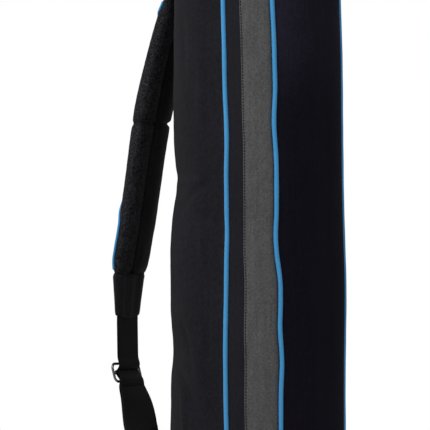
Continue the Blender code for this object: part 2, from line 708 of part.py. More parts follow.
clear_scene()
make_tub_layer("cover", 0.0, COVER_THICK, FABRIC)
make_tub_layer("foam", FOAM_INSET, FOAM_THICK, FOAM_FINISH)
make_door_layers()
make_piping("rear_piping", V_REAR_PIPING)
make_piping("front_piping", V_FRONT_PIPING)
make_zip()
make_slider()
make_inside()
make_base()
make_handle()
make_pad()
make_strap()
make_upper_end()
make_glide()
make_ring()
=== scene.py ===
"""The finished look of a three-ball in-line bowling bag that stands on its end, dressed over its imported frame.

A place on the bag's skin is given by v, the distance round the side from its middle (negative to the front),
and by a column of the outline that runs round the bag in its X-Z plane. +Z is up, the door faces -Y, the
shoulder strap is on +Y and the zip runs down the -X side. Lengths are metres.
"""

import math

import bmesh
import bpy
import numpy as np
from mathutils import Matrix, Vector


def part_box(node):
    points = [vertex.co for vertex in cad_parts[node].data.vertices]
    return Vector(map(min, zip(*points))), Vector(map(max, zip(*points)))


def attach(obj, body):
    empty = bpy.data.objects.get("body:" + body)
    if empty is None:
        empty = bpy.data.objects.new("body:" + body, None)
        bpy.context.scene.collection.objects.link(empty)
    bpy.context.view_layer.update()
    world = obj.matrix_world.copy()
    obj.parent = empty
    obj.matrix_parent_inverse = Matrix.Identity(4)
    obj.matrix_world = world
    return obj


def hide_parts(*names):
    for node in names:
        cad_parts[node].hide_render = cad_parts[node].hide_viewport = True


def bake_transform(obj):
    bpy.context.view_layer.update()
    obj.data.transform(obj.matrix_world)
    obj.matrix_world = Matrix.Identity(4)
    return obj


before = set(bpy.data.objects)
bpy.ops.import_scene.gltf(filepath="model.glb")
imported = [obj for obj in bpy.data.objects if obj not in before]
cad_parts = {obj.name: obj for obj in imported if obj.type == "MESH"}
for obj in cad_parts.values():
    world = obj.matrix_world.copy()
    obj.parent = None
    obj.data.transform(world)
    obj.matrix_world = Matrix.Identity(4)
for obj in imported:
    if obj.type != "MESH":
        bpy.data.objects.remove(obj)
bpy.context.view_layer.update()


# ---------------------------------------------------------------- the view, the floor and the light
# The bag stands on a plain pale floor in a white room. A broad soft lamp on its zip side does most of the
# work, a second one in front fills the door, and a narrow one behind draws the edge of the strap.

BAG_AXIS_Y = -0.021
LOOK_HEIGHT = 0.420
LOOK_TURN = math.radians(-55.0)
LOOK_ASIDE = -0.062
PICTURE_WIDTH = 0.632
LENS, SENSOR = 400.0, 36.0

towards_camera = Vector((math.sin(LOOK_TURN), -math.cos(LOOK_TURN), 0.0))
picture_right = Vector((math.cos(LOOK_TURN), math.sin(LOOK_TURN), 0.0))
aim = Vector((0.0, BAG_AXIS_Y, LOOK_HEIGHT)) + picture_right * LOOK_ASIDE
camera_data = bpy.data.cameras.new("camera")
camera_data.lens = LENS
camera_data.sensor_width = SENSOR
camera = bpy.data.objects.new("camera", camera_data)
bpy.context.scene.collection.objects.link(camera)
camera.location = aim + towards_camera * (PICTURE_WIDTH * LENS / SENSOR)
camera.rotation_euler = (-towards_camera).to_track_quat("-Z", "Y").to_euler()
camera_data.clip_end = 60.0
bpy.context.scene.camera = camera
bpy.context.scene.view_settings.view_transform = "Standard"

FLOOR_RADIUS = 1.15
floor_mesh = bpy.data.meshes.new("floor")
floor_form = bmesh.new()
bmesh.ops.create_circle(floor_form, cap_ends=True, segments=96, radius=FLOOR_RADIUS)
floor_form.to_mesh(floor_mesh)
floor_form.free()
floor = bpy.data.objects.new("floor", floor_mesh)
bpy.context.scene.collection.objects.link(floor)
floor_paint = bpy.data.materials.new("floor_paint")
floor_paint.use_nodes = True
floor_paint.node_tree.nodes["Principled BSDF"].inputs["Base Color"].default_value = (0.76, 0.76, 0.76, 1.0)
floor_paint.node_tree.nodes["Principled BSDF"].inputs["Roughness"].default_value = 0.9
floor_mesh.materials.append(floor_paint)

room = bpy.data.worlds.new("room")
room.use_nodes = True
seen = room.node_tree.nodes.new("ShaderNodeLightPath").outputs["Is Camera Ray"]
brightness = room.node_tree.nodes.new("ShaderNodeMapRange")
brightness.inputs["To Min"].default_value = 0.39
brightness.inputs["To Max"].default_value = 1.0
room.node_tree.links.new(seen, brightness.inputs["Value"])
room.node_tree.nodes["Background"].inputs["Color"].default_value = (1.0, 1.0, 1.0, 1.0)
room.node_tree.links.new(brightness.outputs[0], room.node_tree.nodes["Background"].inputs["Strength"])
bpy.context.scene.world = room


def soft_lamp(name, place, aimed_at, width, height, power):
    """A rectangular lamp at a place, facing a point."""
    data = bpy.data.lights.new(name, "AREA")
    data.shape = "RECTANGLE"
    data.size = width
    data.size_y = height
    data.energy = power
    lamp = bpy.data.objects.new(name, data)
    bpy.context.scene.collection.objects.link(lamp)
    lamp.location = place
    lamp.rotation_euler = (Vector(aimed_at) - Vector(place)).to_track_quat("-Z", "Y").to_euler()


soft_lamp("zip_side_lamp", (-1.70, 0.35, 1.85), (0.0, 0.0, 0.68), 1.1, 1.4, 23.0)
soft_lamp("door_lamp", (-1.3, -1.7, 1.9), (0.0, 0.0, 0.65), 1.2, 1.2, 5.5)
soft_lamp("edge_lamp", (-0.5, 1.9, 1.2), (0.0, 0.1, 0.42), 0.5, 1.6, 9.0)


# ---------------------------------------------------------------- the tub's cover
# The tub is one padded shell of black 600-denier polyester: two sides, a rounded back and two domed ends, all
# cut as soft panels that sag between their seams. It is sewn inside out round a blue piping cord.

BAG_TOP, BAG_BOTTOM = 0.810, 0.006
HALF_WIDTH, SIDE_FLAT = 0.117, 0.016
SIDE_CORNER = HALF_WIDTH - SIDE_FLAT
END_CORNER, OUTLINE_CORNER = 0.050, 0.035
TAPER_PER_METRE, TAPER_MIDDLE = 0.070, 0.420
BACK_MIDDLE = SIDE_FLAT + SIDE_CORNER * math.pi / 2 + SIDE_FLAT
V_BACK_START = BACK_MIDDLE - SIDE_FLAT
V_REAR_PIPING, V_ZIP, V_GREY_EDGE, V_FRONT_PIPING = -0.0266, -0.0415, -0.0529, -0.1022
COVER_THICK = 0.0013
SIDE_STEPS, CORNER_STEPS, END_STEPS = 171, 8, 40


def outline_columns():
    """Columns round the outline, counter-clockwise from the lower right: each holds how far it is across (-1 to
    1) and up (0 to 1) between the corners' centres, and the angle at which it leaves them."""
    corners = [(1.0, 0.0, -90.0), (1.0, 1.0, 0.0), (-1.0, 1.0, 90.0), (-1.0, 0.0, 180.0)]
    found = []
    for i, (across, up, start) in enumerate(corners):
        turn = np.linspace(start, start + 90.0, CORNER_STEPS + 1)
        found.append(np.stack([np.full_like(turn, across), np.full_like(turn, up), turn], axis=-1))
        next_across, next_up, _ = corners[(i + 1) % 4]
        t = np.linspace(0.0, 1.0, (SIDE_STEPS if i % 2 == 0 else END_STEPS) + 1)[1:-1]
        run = [across + (next_across - across) * t, up + (next_up - up) * t, np.full_like(t, start + 90.0)]
        found.append(np.stack(run, axis=-1))
    return np.concatenate(found)


COLUMNS = outline_columns()
HINGE_COLUMNS = COLUMNS[: 2 * CORNER_STEPS + SIDE_STEPS + 1]
ZIP_COLUMNS = np.concatenate([COLUMNS[len(HINGE_COLUMNS) - 1 :], COLUMNS[:1]])


def hump(x, centre, reach):
    """A bell of height 1 at the centre: exp(-((x - centre) / reach) squared)."""
    return np.exp(-(((x - centre) / reach) ** 2))


def ease(x, start, stop):
    """0 before start, 1 after stop, and the cubic 3t2 - 2t3 between; start may be the larger."""
    t = np.clip((x - start) / (stop - start), 0.0, 1.0)
    return t * t * (3.0 - 2.0 * t)


def seam_drift(v, z, left):
    """How far the sewn seams of the zip side wander from straight, in v: the two pipings each have their own
    slow wave down the bag, and a seam between them takes its share of both."""
    rear = -0.0078 * ease(z, 0.52, 0.760) - 0.0015 * hump(z, 0.600, 0.045) - 0.0008 * hump(z, 0.480, 0.030)
    rear += 0.0009 * hump(z, 0.392, 0.025)
    rear += -0.0014 * hump(z, 0.225, 0.070) + 0.0010 * hump(z, 0.100, 0.030)
    front = 0.0068 * ease(z, 0.600, 0.760) + 0.0036 * hump(z, 0.556, 0.040) + 0.0014 * hump(z, 0.392, 0.022)
    front += 0.0013 * ease(z, 0.330, 0.380) + 0.0017 * hump(z, 0.632, 0.040)
    front += -0.0044 * ease(z, 0.368, 0.312) - 0.0018 * hump(z, 0.205, 0.030) + 0.0010 * hump(z, 0.258, 0.022)
    share = np.clip((v - V_REAR_PIPING) / (V_FRONT_PIPING - V_REAR_PIPING), 0.0, 1.0)
    drift = -rear * (1.0 - share) + front * share
    fade = ease(v, 0.070, 0.0) * ease(v, -0.172, V_FRONT_PIPING) * ease(z, 0.806, 0.770) * ease(z, 0.008, 0.050)
    return drift * fade * left


def crumple(a, b, seed, waves, shortest, longest):
    """Soft creases: a sum of ridges 1 - |sin| along seeded directions, scaled to run about -1 to 1."""
    draw = np.random.default_rng(seed)
    total = np.zeros(np.broadcast(a, b).shape)
    for length, heading, phase, height in zip(
        draw.uniform(shortest, longest, waves),
        draw.uniform(0.0, math.pi, waves),
        draw.uniform(0.0, math.pi, waves),
        draw.uniform(0.5, 1.0, waves),
    ):
        run = (a * math.cos(heading) + b * math.sin(heading)) * math.pi / length + phase
        total += height * (0.64 - np.abs(np.sin(run + 0.5 * np.sin(0.37 * run + phase))))
    return total / math.sqrt(waves)


def fold(a, b, at_a, at_b, heading, reach, width):
    """One crease: a narrow bell across a line and a broad one along it, which bends a little as a sine."""
    along = (a - at_a) * math.cos(heading) + (b - at_b) * math.sin(heading)
    off = -(a - at_a) * math.sin(heading) + (b - at_b) * math.cos(heading)
    return hump(along, 0.0, reach) * hump(off, 0.012 * np.sin(along / 0.03), width)


FOLDS = (
    (-0.0018, 0.012, 0.416, 0.05, 0.026, 0.0050), (0.0018, 0.060, 0.470, -0.35, 0.045, 0.0075),
    (-0.0020, 0.030, 0.452, -0.95, 0.040, 0.0060), (0.0022, 0.017, 0.374, 1.09, 0.033, 0.0036),
    (-0.0034, 0.045, 0.236, 0.82, 0.026, 0.0055), (-0.0044, 0.037, 0.153, 0.68, 0.040, 0.0075),
    (0.0036, 0.049, 0.122, 1.07, 0.035, 0.0060), (-0.0022, 0.004, 0.232, 1.20, 0.030, 0.0060),
    (0.0024, 0.020, 0.185, 0.90, 0.040, 0.0090), (0.0014, 0.018, 0.590, 1.30, 0.060, 0.0090),
    (-0.0016, 0.055, 0.660, 1.20, 0.050, 0.0070), (-0.0018, -0.0635, 0.235, 1.50, 0.070, 0.0050),
    (-0.0014, -0.076, 0.490, 1.95, 0.030, 0.0060), (-0.0012, -0.080, 0.355, 1.20, 0.035, 0.0060))


def sag(v, x, z):
    """How far the skin stands out from its boards: the waist and the hollows of the zip side's back corner, the
    swell of the door's free corner, seams drawn in beside the pipings, folds and a general crumple."""
    left, right = ease(x, -0.010, -0.060), ease(x, 0.010, 0.060)
    behind, front = ease(v, 0.010, 0.085), ease(v, -0.045, V_FRONT_PIPING)
    waist = -0.0068 * hump(z, 0.468, 0.040) - 0.0011 * hump(z, 0.474, 0.008)
    hollow = 0.0024 * hump(z, 0.352, 0.075) - 0.0034 * hump(z, 0.222, 0.030) - 0.0007 * hump(z, 0.54, 0.03)
    out = (waist + hollow) * left * behind * (1.0 - 0.55 * ease(v, 0.125, 0.185))
    out += (-0.0022 * hump(z, 0.530, 0.050) + 0.0018 * hump(z, 0.33, 0.09)) * right * behind
    swell = 0.0018 * ease(z, 0.740, 0.640) + 0.0028 * hump(z, 0.310, 0.095)
    out += swell * right * front * ease(z, 0.012, 0.060) * (1.0 - 0.6 * ease(-v, 0.120, 0.185))
    out += 0.0016 * ease(-v, 0.118, 0.175) * np.sin(np.clip((z - 0.03) / 0.75, 0.0, 1.0) * math.pi)
    out += 0.0014 * ease(v, -0.018, 0.020) * ease(v, 0.185, 0.120)
    tub = ease(v, V_REAR_PIPING, V_REAR_PIPING + 0.020)
    out += 0.00060 * tub * crumple(v, z, 11, 9, 0.045, 0.130)
    out += 0.00028 * tub * crumple(v, z, 23, 12, 0.016, 0.040)
    out += 0.00022 * ease(-v, 0.112, 0.135) * crumple(x, z, 31, 8, 0.060, 0.160)
    gusset = ease(-v, 0.053, 0.062) * ease(-v, 0.102, 0.092)
    out += (0.0007 + 0.00050 * crumple(v * 1.6, z, 47, 9, 0.028, 0.090)) * gusset
    for height, *place in FOLDS:
        out += height * fold(v, z, *place) * left
    return out


def skin(v, columns, inset=0.0):
    """Points and outward normals of the bag's skin. The side section is a flat and two circular corners, the
    outline at each depth is a rectangle with round corners whose ends round away, both are drawn in as they
    rise, and the skin then stands out by its sag."""
    v = np.asarray(v, float)[:, None]
    across, up, angle = (c[None, :] for c in columns.T)
    turned = np.radians(angle)

    def placed(at):
        turn = np.clip((np.abs(at) - SIDE_FLAT) / SIDE_CORNER, 0.0, math.pi / 2)
        radius = SIDE_CORNER - inset
        depth = np.clip(at, -SIDE_FLAT, SIDE_FLAT) + np.sign(at) * radius * np.sin(turn)
        half = SIDE_FLAT + radius * np.cos(turn) - np.maximum(np.abs(at) - V_BACK_START, 0.0)
        past = np.maximum(np.abs(depth) - (HALF_WIDTH - END_CORNER), 0.0)
        end_radius = END_CORNER - inset
        drop = end_radius - np.sqrt(np.maximum(end_radius**2 - past**2, 0.0))
        round_corner = (OUTLINE_CORNER - inset) * half / (HALF_WIDTH - inset)
        low, high = BAG_BOTTOM + inset + drop + round_corner, BAG_TOP - inset - drop - round_corner
        x = (half - round_corner) * across + round_corner * np.cos(turned)
        z = low + (high - low) * up + round_corner * np.sin(turned)
        end_lean = np.clip(past / end_radius, 0.0, 1.0)
        normal = np.stack(
            [np.cos(turned) * np.cos(turn),
             np.sign(at) * (np.cos(turned) ** 2 * np.sin(turn) + np.sin(turned) ** 2 * end_lean) + 0.0 * x,
             np.sin(turned) * np.sqrt(1.0 - end_lean**2) + 0.0 * x], axis=-1)
        return x, depth + 0.0 * x, z, normal

    x, _, z, _ = placed(v)
    left = np.clip(-across, 0.0, 1.0) + 0.0 * z
    x, depth, z, normal = placed(v + seam_drift(v, z, left))
    normal /= np.maximum(np.linalg.norm(normal, axis=-1, keepdims=True), 1e-9)
    scale = 1.0 + TAPER_PER_METRE * (TAPER_MIDDLE - z)
    points = np.stack([x * scale, depth * scale + BAG_AXIS_Y, z], axis=-1)
    return points + normal * sag(v, x, z)[..., None], normal


def run_lengths(points):
    """Distance along a line of points, from 0."""
    return np.concatenate([[0.0], np.cumsum(np.linalg.norm(np.diff(points, axis=0), axis=1))])


def unit(vectors):
    """Vectors at length 1."""
    return vectors / np.linalg.norm(vectors, axis=-1, keepdims=True)


def tangents(path, closed=False):
    """Unit directions along a line of points, from each one's neighbours."""
    return unit(np.roll(path, -1, axis=0) - np.roll(path, 1, axis=0) if closed else np.gradient(path, axis=0))


def at_lengths(values, lengths, at):
    """Vectors known at lengths down a line, read off in straight steps at other lengths."""
    return np.stack([np.interp(at, lengths, values[:, k]) for k in range(3)], axis=-1)


def points_of(obj):
    """The points of an object's mesh, one row each."""
    points = np.empty(len(obj.data.vertices) * 3, np.float32)
    obj.data.vertices.foreach_get("co", points)
    return points.reshape(-1, 3)


ACROSS, BEHIND, UP = np.eye(3)


def everywhere(vector, points):
    """One vector repeated for every point."""
    return np.broadcast_to(vector, points.shape)


def belongs(obj, body, slot, *replaced, fill=None):
    """Rides a piece on its body and hides the solids it stands for; its slot and fill are not used."""
    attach(obj, body)
    if replaced:
        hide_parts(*replaced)


def bridges(obj, first, second, start, stop, slot, *replaced):
    """Fixes a piece's place in its mesh and hides the solids it stands for; first, second, start, stop and slot are
    not used.
    """
    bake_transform(obj)
    if replaced:
        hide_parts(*replaced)


def lay_mesh(name, grid, uv, finish, around=False, facing=None, weld=False):
    """A mesh of quads over a grid of points, with the map "cloth" in metres. around joins the last column to the
    first, and uv then has one column more. facing, vectors on the same grid, says which way is outwards."""
    rows, columns = grid.shape[:2]
    i, j = np.meshgrid(np.arange(rows - 1), np.arange(columns if around else columns - 1), indexing="ij")
    k = (j + 1) % columns
    corners = np.stack([i * columns + j, i * columns + k, (i + 1) * columns + k, (i + 1) * columns + j], -1)
    places = np.stack([uv[i, j], uv[i, j + 1], uv[i + 1, j + 1], uv[i + 1, j]], axis=-2)
    if facing is not None:
        one, two = grid[i, k] - grid[i, j], grid[i + 1, j] - grid[i, j]
        if np.sum(np.cross(one, two) * facing[i, j]) < 0.0:
            corners, places = corners[..., ::-1], places[..., ::-1, :]
    corners, places = corners.reshape(-1, 4), places.reshape(-1, 2)
    mesh = bpy.data.meshes.new(name)
    mesh.vertices.add(rows * columns)
    mesh.vertices.foreach_set("co", grid.astype(np.float32).ravel())
    mesh.loops.add(corners.size)
    mesh.loops.foreach_set("vertex_index", corners.astype(np.int32).ravel())
    mesh.polygons.add(len(corners))
    mesh.polygons.foreach_set("loop_start", np.arange(0, corners.size, 4, dtype=np.int32))
    mesh.update(calc_edges=True)
    layer = mesh.uv_layers.new(name="cloth")
    layer.uv.foreach_set("vector", places.astype(np.float32).ravel())
    if weld or facing is None:
        form = bmesh.new()
        form.from_mesh(mesh)
        bmesh.ops.remove_doubles(form, verts=form.verts, dist=2e-5)
        if facing is None:
            open_rings = [e for e in form.edges if e.is_boundary]
            if open_rings:
                bmesh.ops.holes_fill(form, edges=open_rings, sides=0)
            bmesh.ops.recalc_face_normals(form, faces=form.faces)
        form.to_mesh(mesh)
        form.free()
    mesh.shade_smooth()
    mesh.materials.append(finish)
    obj = bpy.data.objects.new(name, mesh)
    bpy.context.scene.collection.objects.link(obj)
    return obj


def made_solid(obj, thickness):
    """Gives a sheet its thickness, behind its faces, and fixes it in the mesh."""
    solid = obj.modifiers.new("thickness", "SOLIDIFY")
    solid.thickness = thickness
    solid.offset = -1.0
    solid.use_even_offset = False
    return settled(obj)


def settled(obj):
    """Replaces the object's mesh by what its modifiers make of it."""
    bpy.context.view_layer.update()
    graph = bpy.context.evaluated_depsgraph_get()
    mesh = bpy.data.meshes.new_from_object(obj.evaluated_get(graph))
    obj.modifiers.clear()
    old, obj.data = obj.data, mesh
    mesh.name = old.name
    bpy.data.meshes.remove(old)
    mesh.shade_smooth()
    return obj


def add_node(tree, kind, values=(), **settings):
    """A node of a kind, with its settings, and with values or links put into its inputs by name or number."""
    node = tree.nodes.new(kind)
    for key, value in settings.items():
        setattr(node, key, value)
    for key, value in dict(values).items():
        if isinstance(value, bpy.types.NodeSocket):
            tree.links.new(value, node.inputs[key])
        else:
            node.inputs[key].default_value = value
    return node


def new_material(name):
    """A material with nodes: itself, its node tree, its shader and the Object coordinates."""
    made = bpy.data.materials.new(name)
    made.use_nodes = True
    tree = made.node_tree
    return made, tree, tree.nodes["Principled BSDF"], add_node(tree, "ShaderNodeTexCoord").outputs["Object"]


def woven(name, colour, weave="plain", thread=0.0010, relief=0.00016, mottle=0.30, streak=0.0, flecks=0.0,
          roughness=0.78, crush=0.0006, contrast=0.35, fleck_size=420.0, gloss=0.12):
    """Cloth: threads from two sine bands on the cloth map (crossed, slanted or ribbed), a slow stain of noise,
    long streaks, fine flecks, and soft crushing in the bump. Colour, roughness and relief all follow them."""
    made, tree, shader, place = new_material(name)
    map_ = add_node(tree, "ShaderNodeUVMap", uv_map="cloth").outputs["UV"]

    def sine(direction, period, factor=0.31416):
        return add_node(tree, "ShaderNodeTexWave", {"Vector": map_, "Scale": factor / period, "Distortion": 0.0},
                        wave_type="BANDS", bands_direction=direction, wave_profile="SIN").outputs["Fac"]

    def maths(operation, a, b, c=0.0):
        return add_node(tree, "ShaderNodeMath", {0: a, 1: b, 2: c}, operation=operation).outputs[0]

    if weave == "plain":
        one, two = sine("X", 2.0 * thread), sine("Y", 2.0 * thread)
        both = maths("MULTIPLY_ADD", maths("MULTIPLY", one, two), 2.0, 1.0)
        height = maths("SUBTRACT", both, maths("ADD", one, two))
    elif weave == "twill":
        height = maths("MULTIPLY_ADD", sine("DIAGONAL", thread * 1.4, 0.62832), 0.7,
                       maths("MULTIPLY", sine("X", thread * 0.7), 0.3))
    elif weave == "ribbed":
        height = maths("MULTIPLY_ADD", sine("X", thread), 0.75, maths("MULTIPLY", sine("Y", thread * 0.35), 0.25))
    else:
        height = maths("MULTIPLY_ADD", sine("Y", thread), 0.8, maths("MULTIPLY", sine("X", thread * 1.6), 0.2))
    stain = add_node(tree, "ShaderNodeTexNoise", {"Vector": place, "Scale": 11.0, "Detail": 5.0, "Roughness": 0.6})
    long_way = add_node(tree, "ShaderNodeMapping", {"Vector": place, "Scale": (260.0, 260.0, 14.0)})
    runs = add_node(tree, "ShaderNodeTexNoise", {"Vector": long_way.outputs[0], "Scale": 1.0, "Detail": 3.0})
    fine = add_node(tree, "ShaderNodeTexNoise", {"Vector": place, "Scale": fleck_size, "Detail": 2.0})
    tone = maths("MULTIPLY_ADD", stain.outputs["Fac"], 2.0 * mottle, 1.0 - mottle)
    tone = maths("MULTIPLY_ADD", maths("SUBTRACT", runs.outputs["Fac"], 0.5), 2.0 * streak, tone)
    tone = maths("MULTIPLY_ADD", maths("SUBTRACT", fine.outputs["Fac"], 0.5), 2.0 * flecks, tone)
    tone = maths("MULTIPLY", tone, maths("MULTIPLY_ADD", height, contrast, 1.0 - contrast / 2.0))
    # A point attribute pales the tone: painted highlight and painted light on some pieces, edge wear on others.
    paling = add_node(tree, "ShaderNodeAttribute", attribute_name="wear_and_painted_light", attribute_type="GEOMETRY").outputs["Fac"]
    tone = maths("MULTIPLY", maths("MAXIMUM", tone, 0.15), maths("ADD", paling, 1.0))
    grey = add_node(tree, "ShaderNodeCombineColor", {0: tone, 1: tone, 2: tone})
    paint = add_node(tree, "ShaderNodeMix", {0: 1.0, 6: (*colour, 1.0), 7: grey.outputs[0]},
                     data_type="RGBA", blend_type="MULTIPLY")
    tree.links.new(paint.outputs[2], shader.inputs["Base Color"])
    rough = maths("MULTIPLY_ADD", fine.outputs["Fac"], 0.16, roughness - 0.08)
    tree.links.new(rough, shader.inputs["Roughness"])
    threads = add_node(tree, "ShaderNodeBump", {"Height": height, "Distance": relief, "Strength": 0.8})
    crushed = add_node(tree, "ShaderNodeTexNoise",
                       {"Vector": place, "Scale": 38.0, "Detail": 4.0, "Roughness": 0.55, "Distortion": 0.6})
    bump = add_node(tree, "ShaderNodeBump", {"Height": crushed.outputs["Fac"], "Distance": crush, "Strength": 1.0,
                                             "Normal": threads.outputs[0]})
    tree.links.new(bump.outputs[0], shader.inputs["Normal"])
    shader.inputs["Specular IOR Level"].default_value = gloss
    return made


def wear_and_painted_light(obj, rule):
    """Writes how much paler each point is painted, for wear and for painted light, from a rule on the arrays of its
    x, y and z.
    """
    wear = obj.data.attributes.new("wear_and_painted_light", "FLOAT", "POINT")
    wear.data.foreach_set("value", rule(*points_of(obj).T).astype(np.float32))


def skin_piece(name, v, columns, finish, thickness, body, slot, replaces, around=False, inset=0.0, weld=False,
               inwards=False, fill=None, groove=0.0):
    """A layer of cloth on the skin: the rows are distances v, each sunk by its groove, the columns run round the
    outline, and the cloth map is v by the distance round the first row. Without a body it is left unattached."""
    grid, normal = skin(v, columns, inset)
    grid = grid - normal * np.broadcast_to(groove, len(v))[:, None, None]
    lengths = run_lengths(np.vstack([grid[0], grid[0][:1]]) if around else grid[0])
    uv = np.stack(np.meshgrid(v, lengths, indexing="ij"), axis=-1)
    obj = made_solid(lay_mesh(name, grid, uv, finish, around, -normal if inwards else normal, weld), thickness)
    if body:
        belongs(obj, body, slot, *replaces, fill=fill)
    return obj


def seam_rows(start, stop, spacing=0.0040):
    """Distances from a seam at start to stop: close together beside the seam, then evenly spaced."""
    sign = 1.0 if stop > start else -1.0
    near = start + sign * np.array([0.0, 0.0007, 0.0016, 0.0028])
    far = np.linspace(start + sign * 0.0044, stop, int(abs(stop - start) / spacing))
    return np.concatenate([near, far])


PIPING_ROOM = 0.0035


def seam_paling(x, y, z):
    """Paler beside the rear piping and over the two ends' edges."""
    beside = hump(y - BAG_AXIS_Y, V_REAR_PIPING + 0.0060, 0.0035) * ease(np.abs(x), 0.090, 0.110)
    return 0.30 * beside + 0.25 * ease(z, 0.775, 0.795) * ease(z, 0.8095, 0.804) + 0.3 * ease(z, 0.040, 0.010)


BLACK_CLOTH = woven("black_polyester", (0.0094, 0.0088, 0.0124), thread=0.0011, mottle=0.36, streak=0.20,
                    flecks=0.80, fleck_size=210.0, crush=0.0012)
tub_cover = skin_piece(
    "tub_cover", seam_rows(V_REAR_PIPING + PIPING_ROOM, BACK_MIDDLE), COLUMNS, BLACK_CLOTH, COVER_THICK, "bag_tub",
    "black_polyester", ("back_cover", "left_side_cover", "right_side_cover", "top_end_cover", "bottom_end_cover"),
    around=True, weld=True)
wear_and_painted_light(tub_cover, seam_paling)


# ---------------------------------------------------------------- the tub's boards and lining
# Behind the cover lies a thin foam board, and over its inner face a dark grey lining. Board and lining are one
# layer here, which follows the cover's sag.

BOARD_INSET, BOARD_THICK = 0.0018, 0.0034
LINING = woven("lining_nylon", (0.045, 0.046, 0.050), thread=0.0008, mottle=0.15, roughness=0.6)
skin_piece(
    "tub_lining", np.linspace(V_REAR_PIPING + PIPING_ROOM + 0.001, BACK_MIDDLE, 46), COLUMNS, LINING, BOARD_THICK,
    "bag_tub", "foam", ("back_foam", "left_side_foam", "right_side_foam", "top_end_foam", "bottom_end_foam"),
    around=True, weld=True, inset=BOARD_INSET + BOARD_THICK, inwards=True, fill=0.9)


# ---------------------------------------------------------------- the pipings
# Each is a cord, 7 mm thick with its wrapping of bright blue satin cloth cut on the bias, caught in the seam all
# round the bag.

PIPING_RADIUS = 0.0034
PIPING_CLOTH = woven("blue_piping", (0.070, 0.330, 0.655), weave="twill", thread=0.0007, mottle=0.10,
                     roughness=0.48, crush=0.0003, contrast=0.16, relief=0.00006)


def swept(name, path, side, out, profile, finish, closed=False, weld=True, facing=None):
    """A profile of (side, out) pairs carried along a path; side and out are vectors at each point of the path."""
    profile = np.asarray(profile, float)
    if profile.ndim == 2:
        profile = np.broadcast_to(profile, (len(path), *profile.shape))
    grid = path[:, None] + side[:, None] * profile[..., :1] + out[:, None] * profile[..., 1:]
    along = run_lengths(np.vstack([path, path[:1]]) if closed else path)
    round_ = run_lengths(np.vstack([profile[0], profile[0][:1]]))
    uv = np.stack(np.meshgrid(along, round_, indexing="ij")[::-1], axis=-1)
    if closed:
        grid = np.vstack([grid, grid[:1]])
    return lay_mesh(name, grid, uv, finish, around=True, weld=weld)


def round_profile(width, height, sides=12):
    """An ellipse of points."""
    a = np.linspace(0.0, 2.0 * math.pi, sides, endpoint=False)
    return np.stack([np.cos(a) * width / 2, np.sin(a) * height / 2], axis=-1)


def seam_piping(name, v, body):
    """The cord at a seam: a circle carried round the outline, squeezed a little where the stitches pull it."""
    points, normal = skin(np.array([v]), COLUMNS, -0.0002)
    path, out = points[0], normal[0]
    side = np.cross(tangents(path, closed=True), out)
    lengths = run_lengths(path)[:, None, None]
    squeeze = 1.0 + 0.035 * np.sin(lengths / 0.011) * np.sin(lengths / 0.037 + 1.0)
    obj = swept(name, path, side, out, round_profile(1.0, 1.0, 14) * (2.0 * PIPING_RADIUS * squeeze),
                PIPING_CLOTH, closed=True)
    belongs(obj, body, "blue_piping", name.replace("_cord", ""))


seam_piping("rear_piping_cord", V_REAR_PIPING, "bag_tub")
seam_piping("front_piping_cord", V_FRONT_PIPING, "front_door")


# ---------------------------------------------------------------- the zip
# A reverse zip: two woven tapes meet over a nylon coil that lies on their inside. The rear tape is sewn to the
# tub's piping seam, the front one under the folded edge of the grey gusset.

TAPE_THICK, TAPE_SPLIT = 0.0009, 0.00006
TAPE_CLOTH = woven("zip_tape", (0.0118, 0.0116, 0.0168), weave="webbing", thread=0.0016, mottle=0.22,
                   roughness=0.72, crush=0.0004, streak=0.12, flecks=0.5, fleck_size=300.0)
REAR_EDGE, FRONT_EDGE = V_REAR_PIPING - 0.0020, V_GREY_EDGE - 0.0020
LIP = np.array([0.0, 0.0002, 0.0005]) + TAPE_SPLIT
TAPE_SUNK = 0.0006
skin_piece("rear_tape", np.append(np.linspace(REAR_EDGE, V_ZIP + 0.0018, 6), V_ZIP + LIP[::-1]), ZIP_COLUMNS,
           TAPE_CLOTH, TAPE_THICK, "bag_tub", "black_polyester", ("rear_zip_tape",), inset=TAPE_SUNK)
skin_piece("front_tape", np.append(V_ZIP - LIP, np.linspace(V_ZIP - 0.0018, FRONT_EDGE, 6)), ZIP_COLUMNS,
           TAPE_CLOTH, TAPE_THICK, "front_door", "black_polyester", ("front_zip_tape",), inset=TAPE_SUNK)


def spread(tree, shader, socket, value, low, high, **more):
    """Drives a shader's input by a value spread over a range."""
    node = add_node(tree, "ShaderNodeMapRange", {"Value": value, "To Min": low, "To Max": high, **more})
    tree.links.new(node.outputs[0], shader.inputs[socket])


NYLON, nylon_tree, nylon_shader, nylon_place = new_material("zip_nylon")
nylon_grain = add_node(nylon_tree, "ShaderNodeTexNoise", {"Vector": nylon_place, "Scale": 900.0}).outputs["Fac"]
spread(nylon_tree, nylon_shader, "Base Color", nylon_grain, 0.008, 0.022)
spread(nylon_tree, nylon_shader, "Roughness", nylon_grain, 0.32, 0.55)
COIL_PITCH, COIL_HALF, COIL_RISE, COIL_WIRE = 0.0022, 0.0011, 0.0008, 0.0004


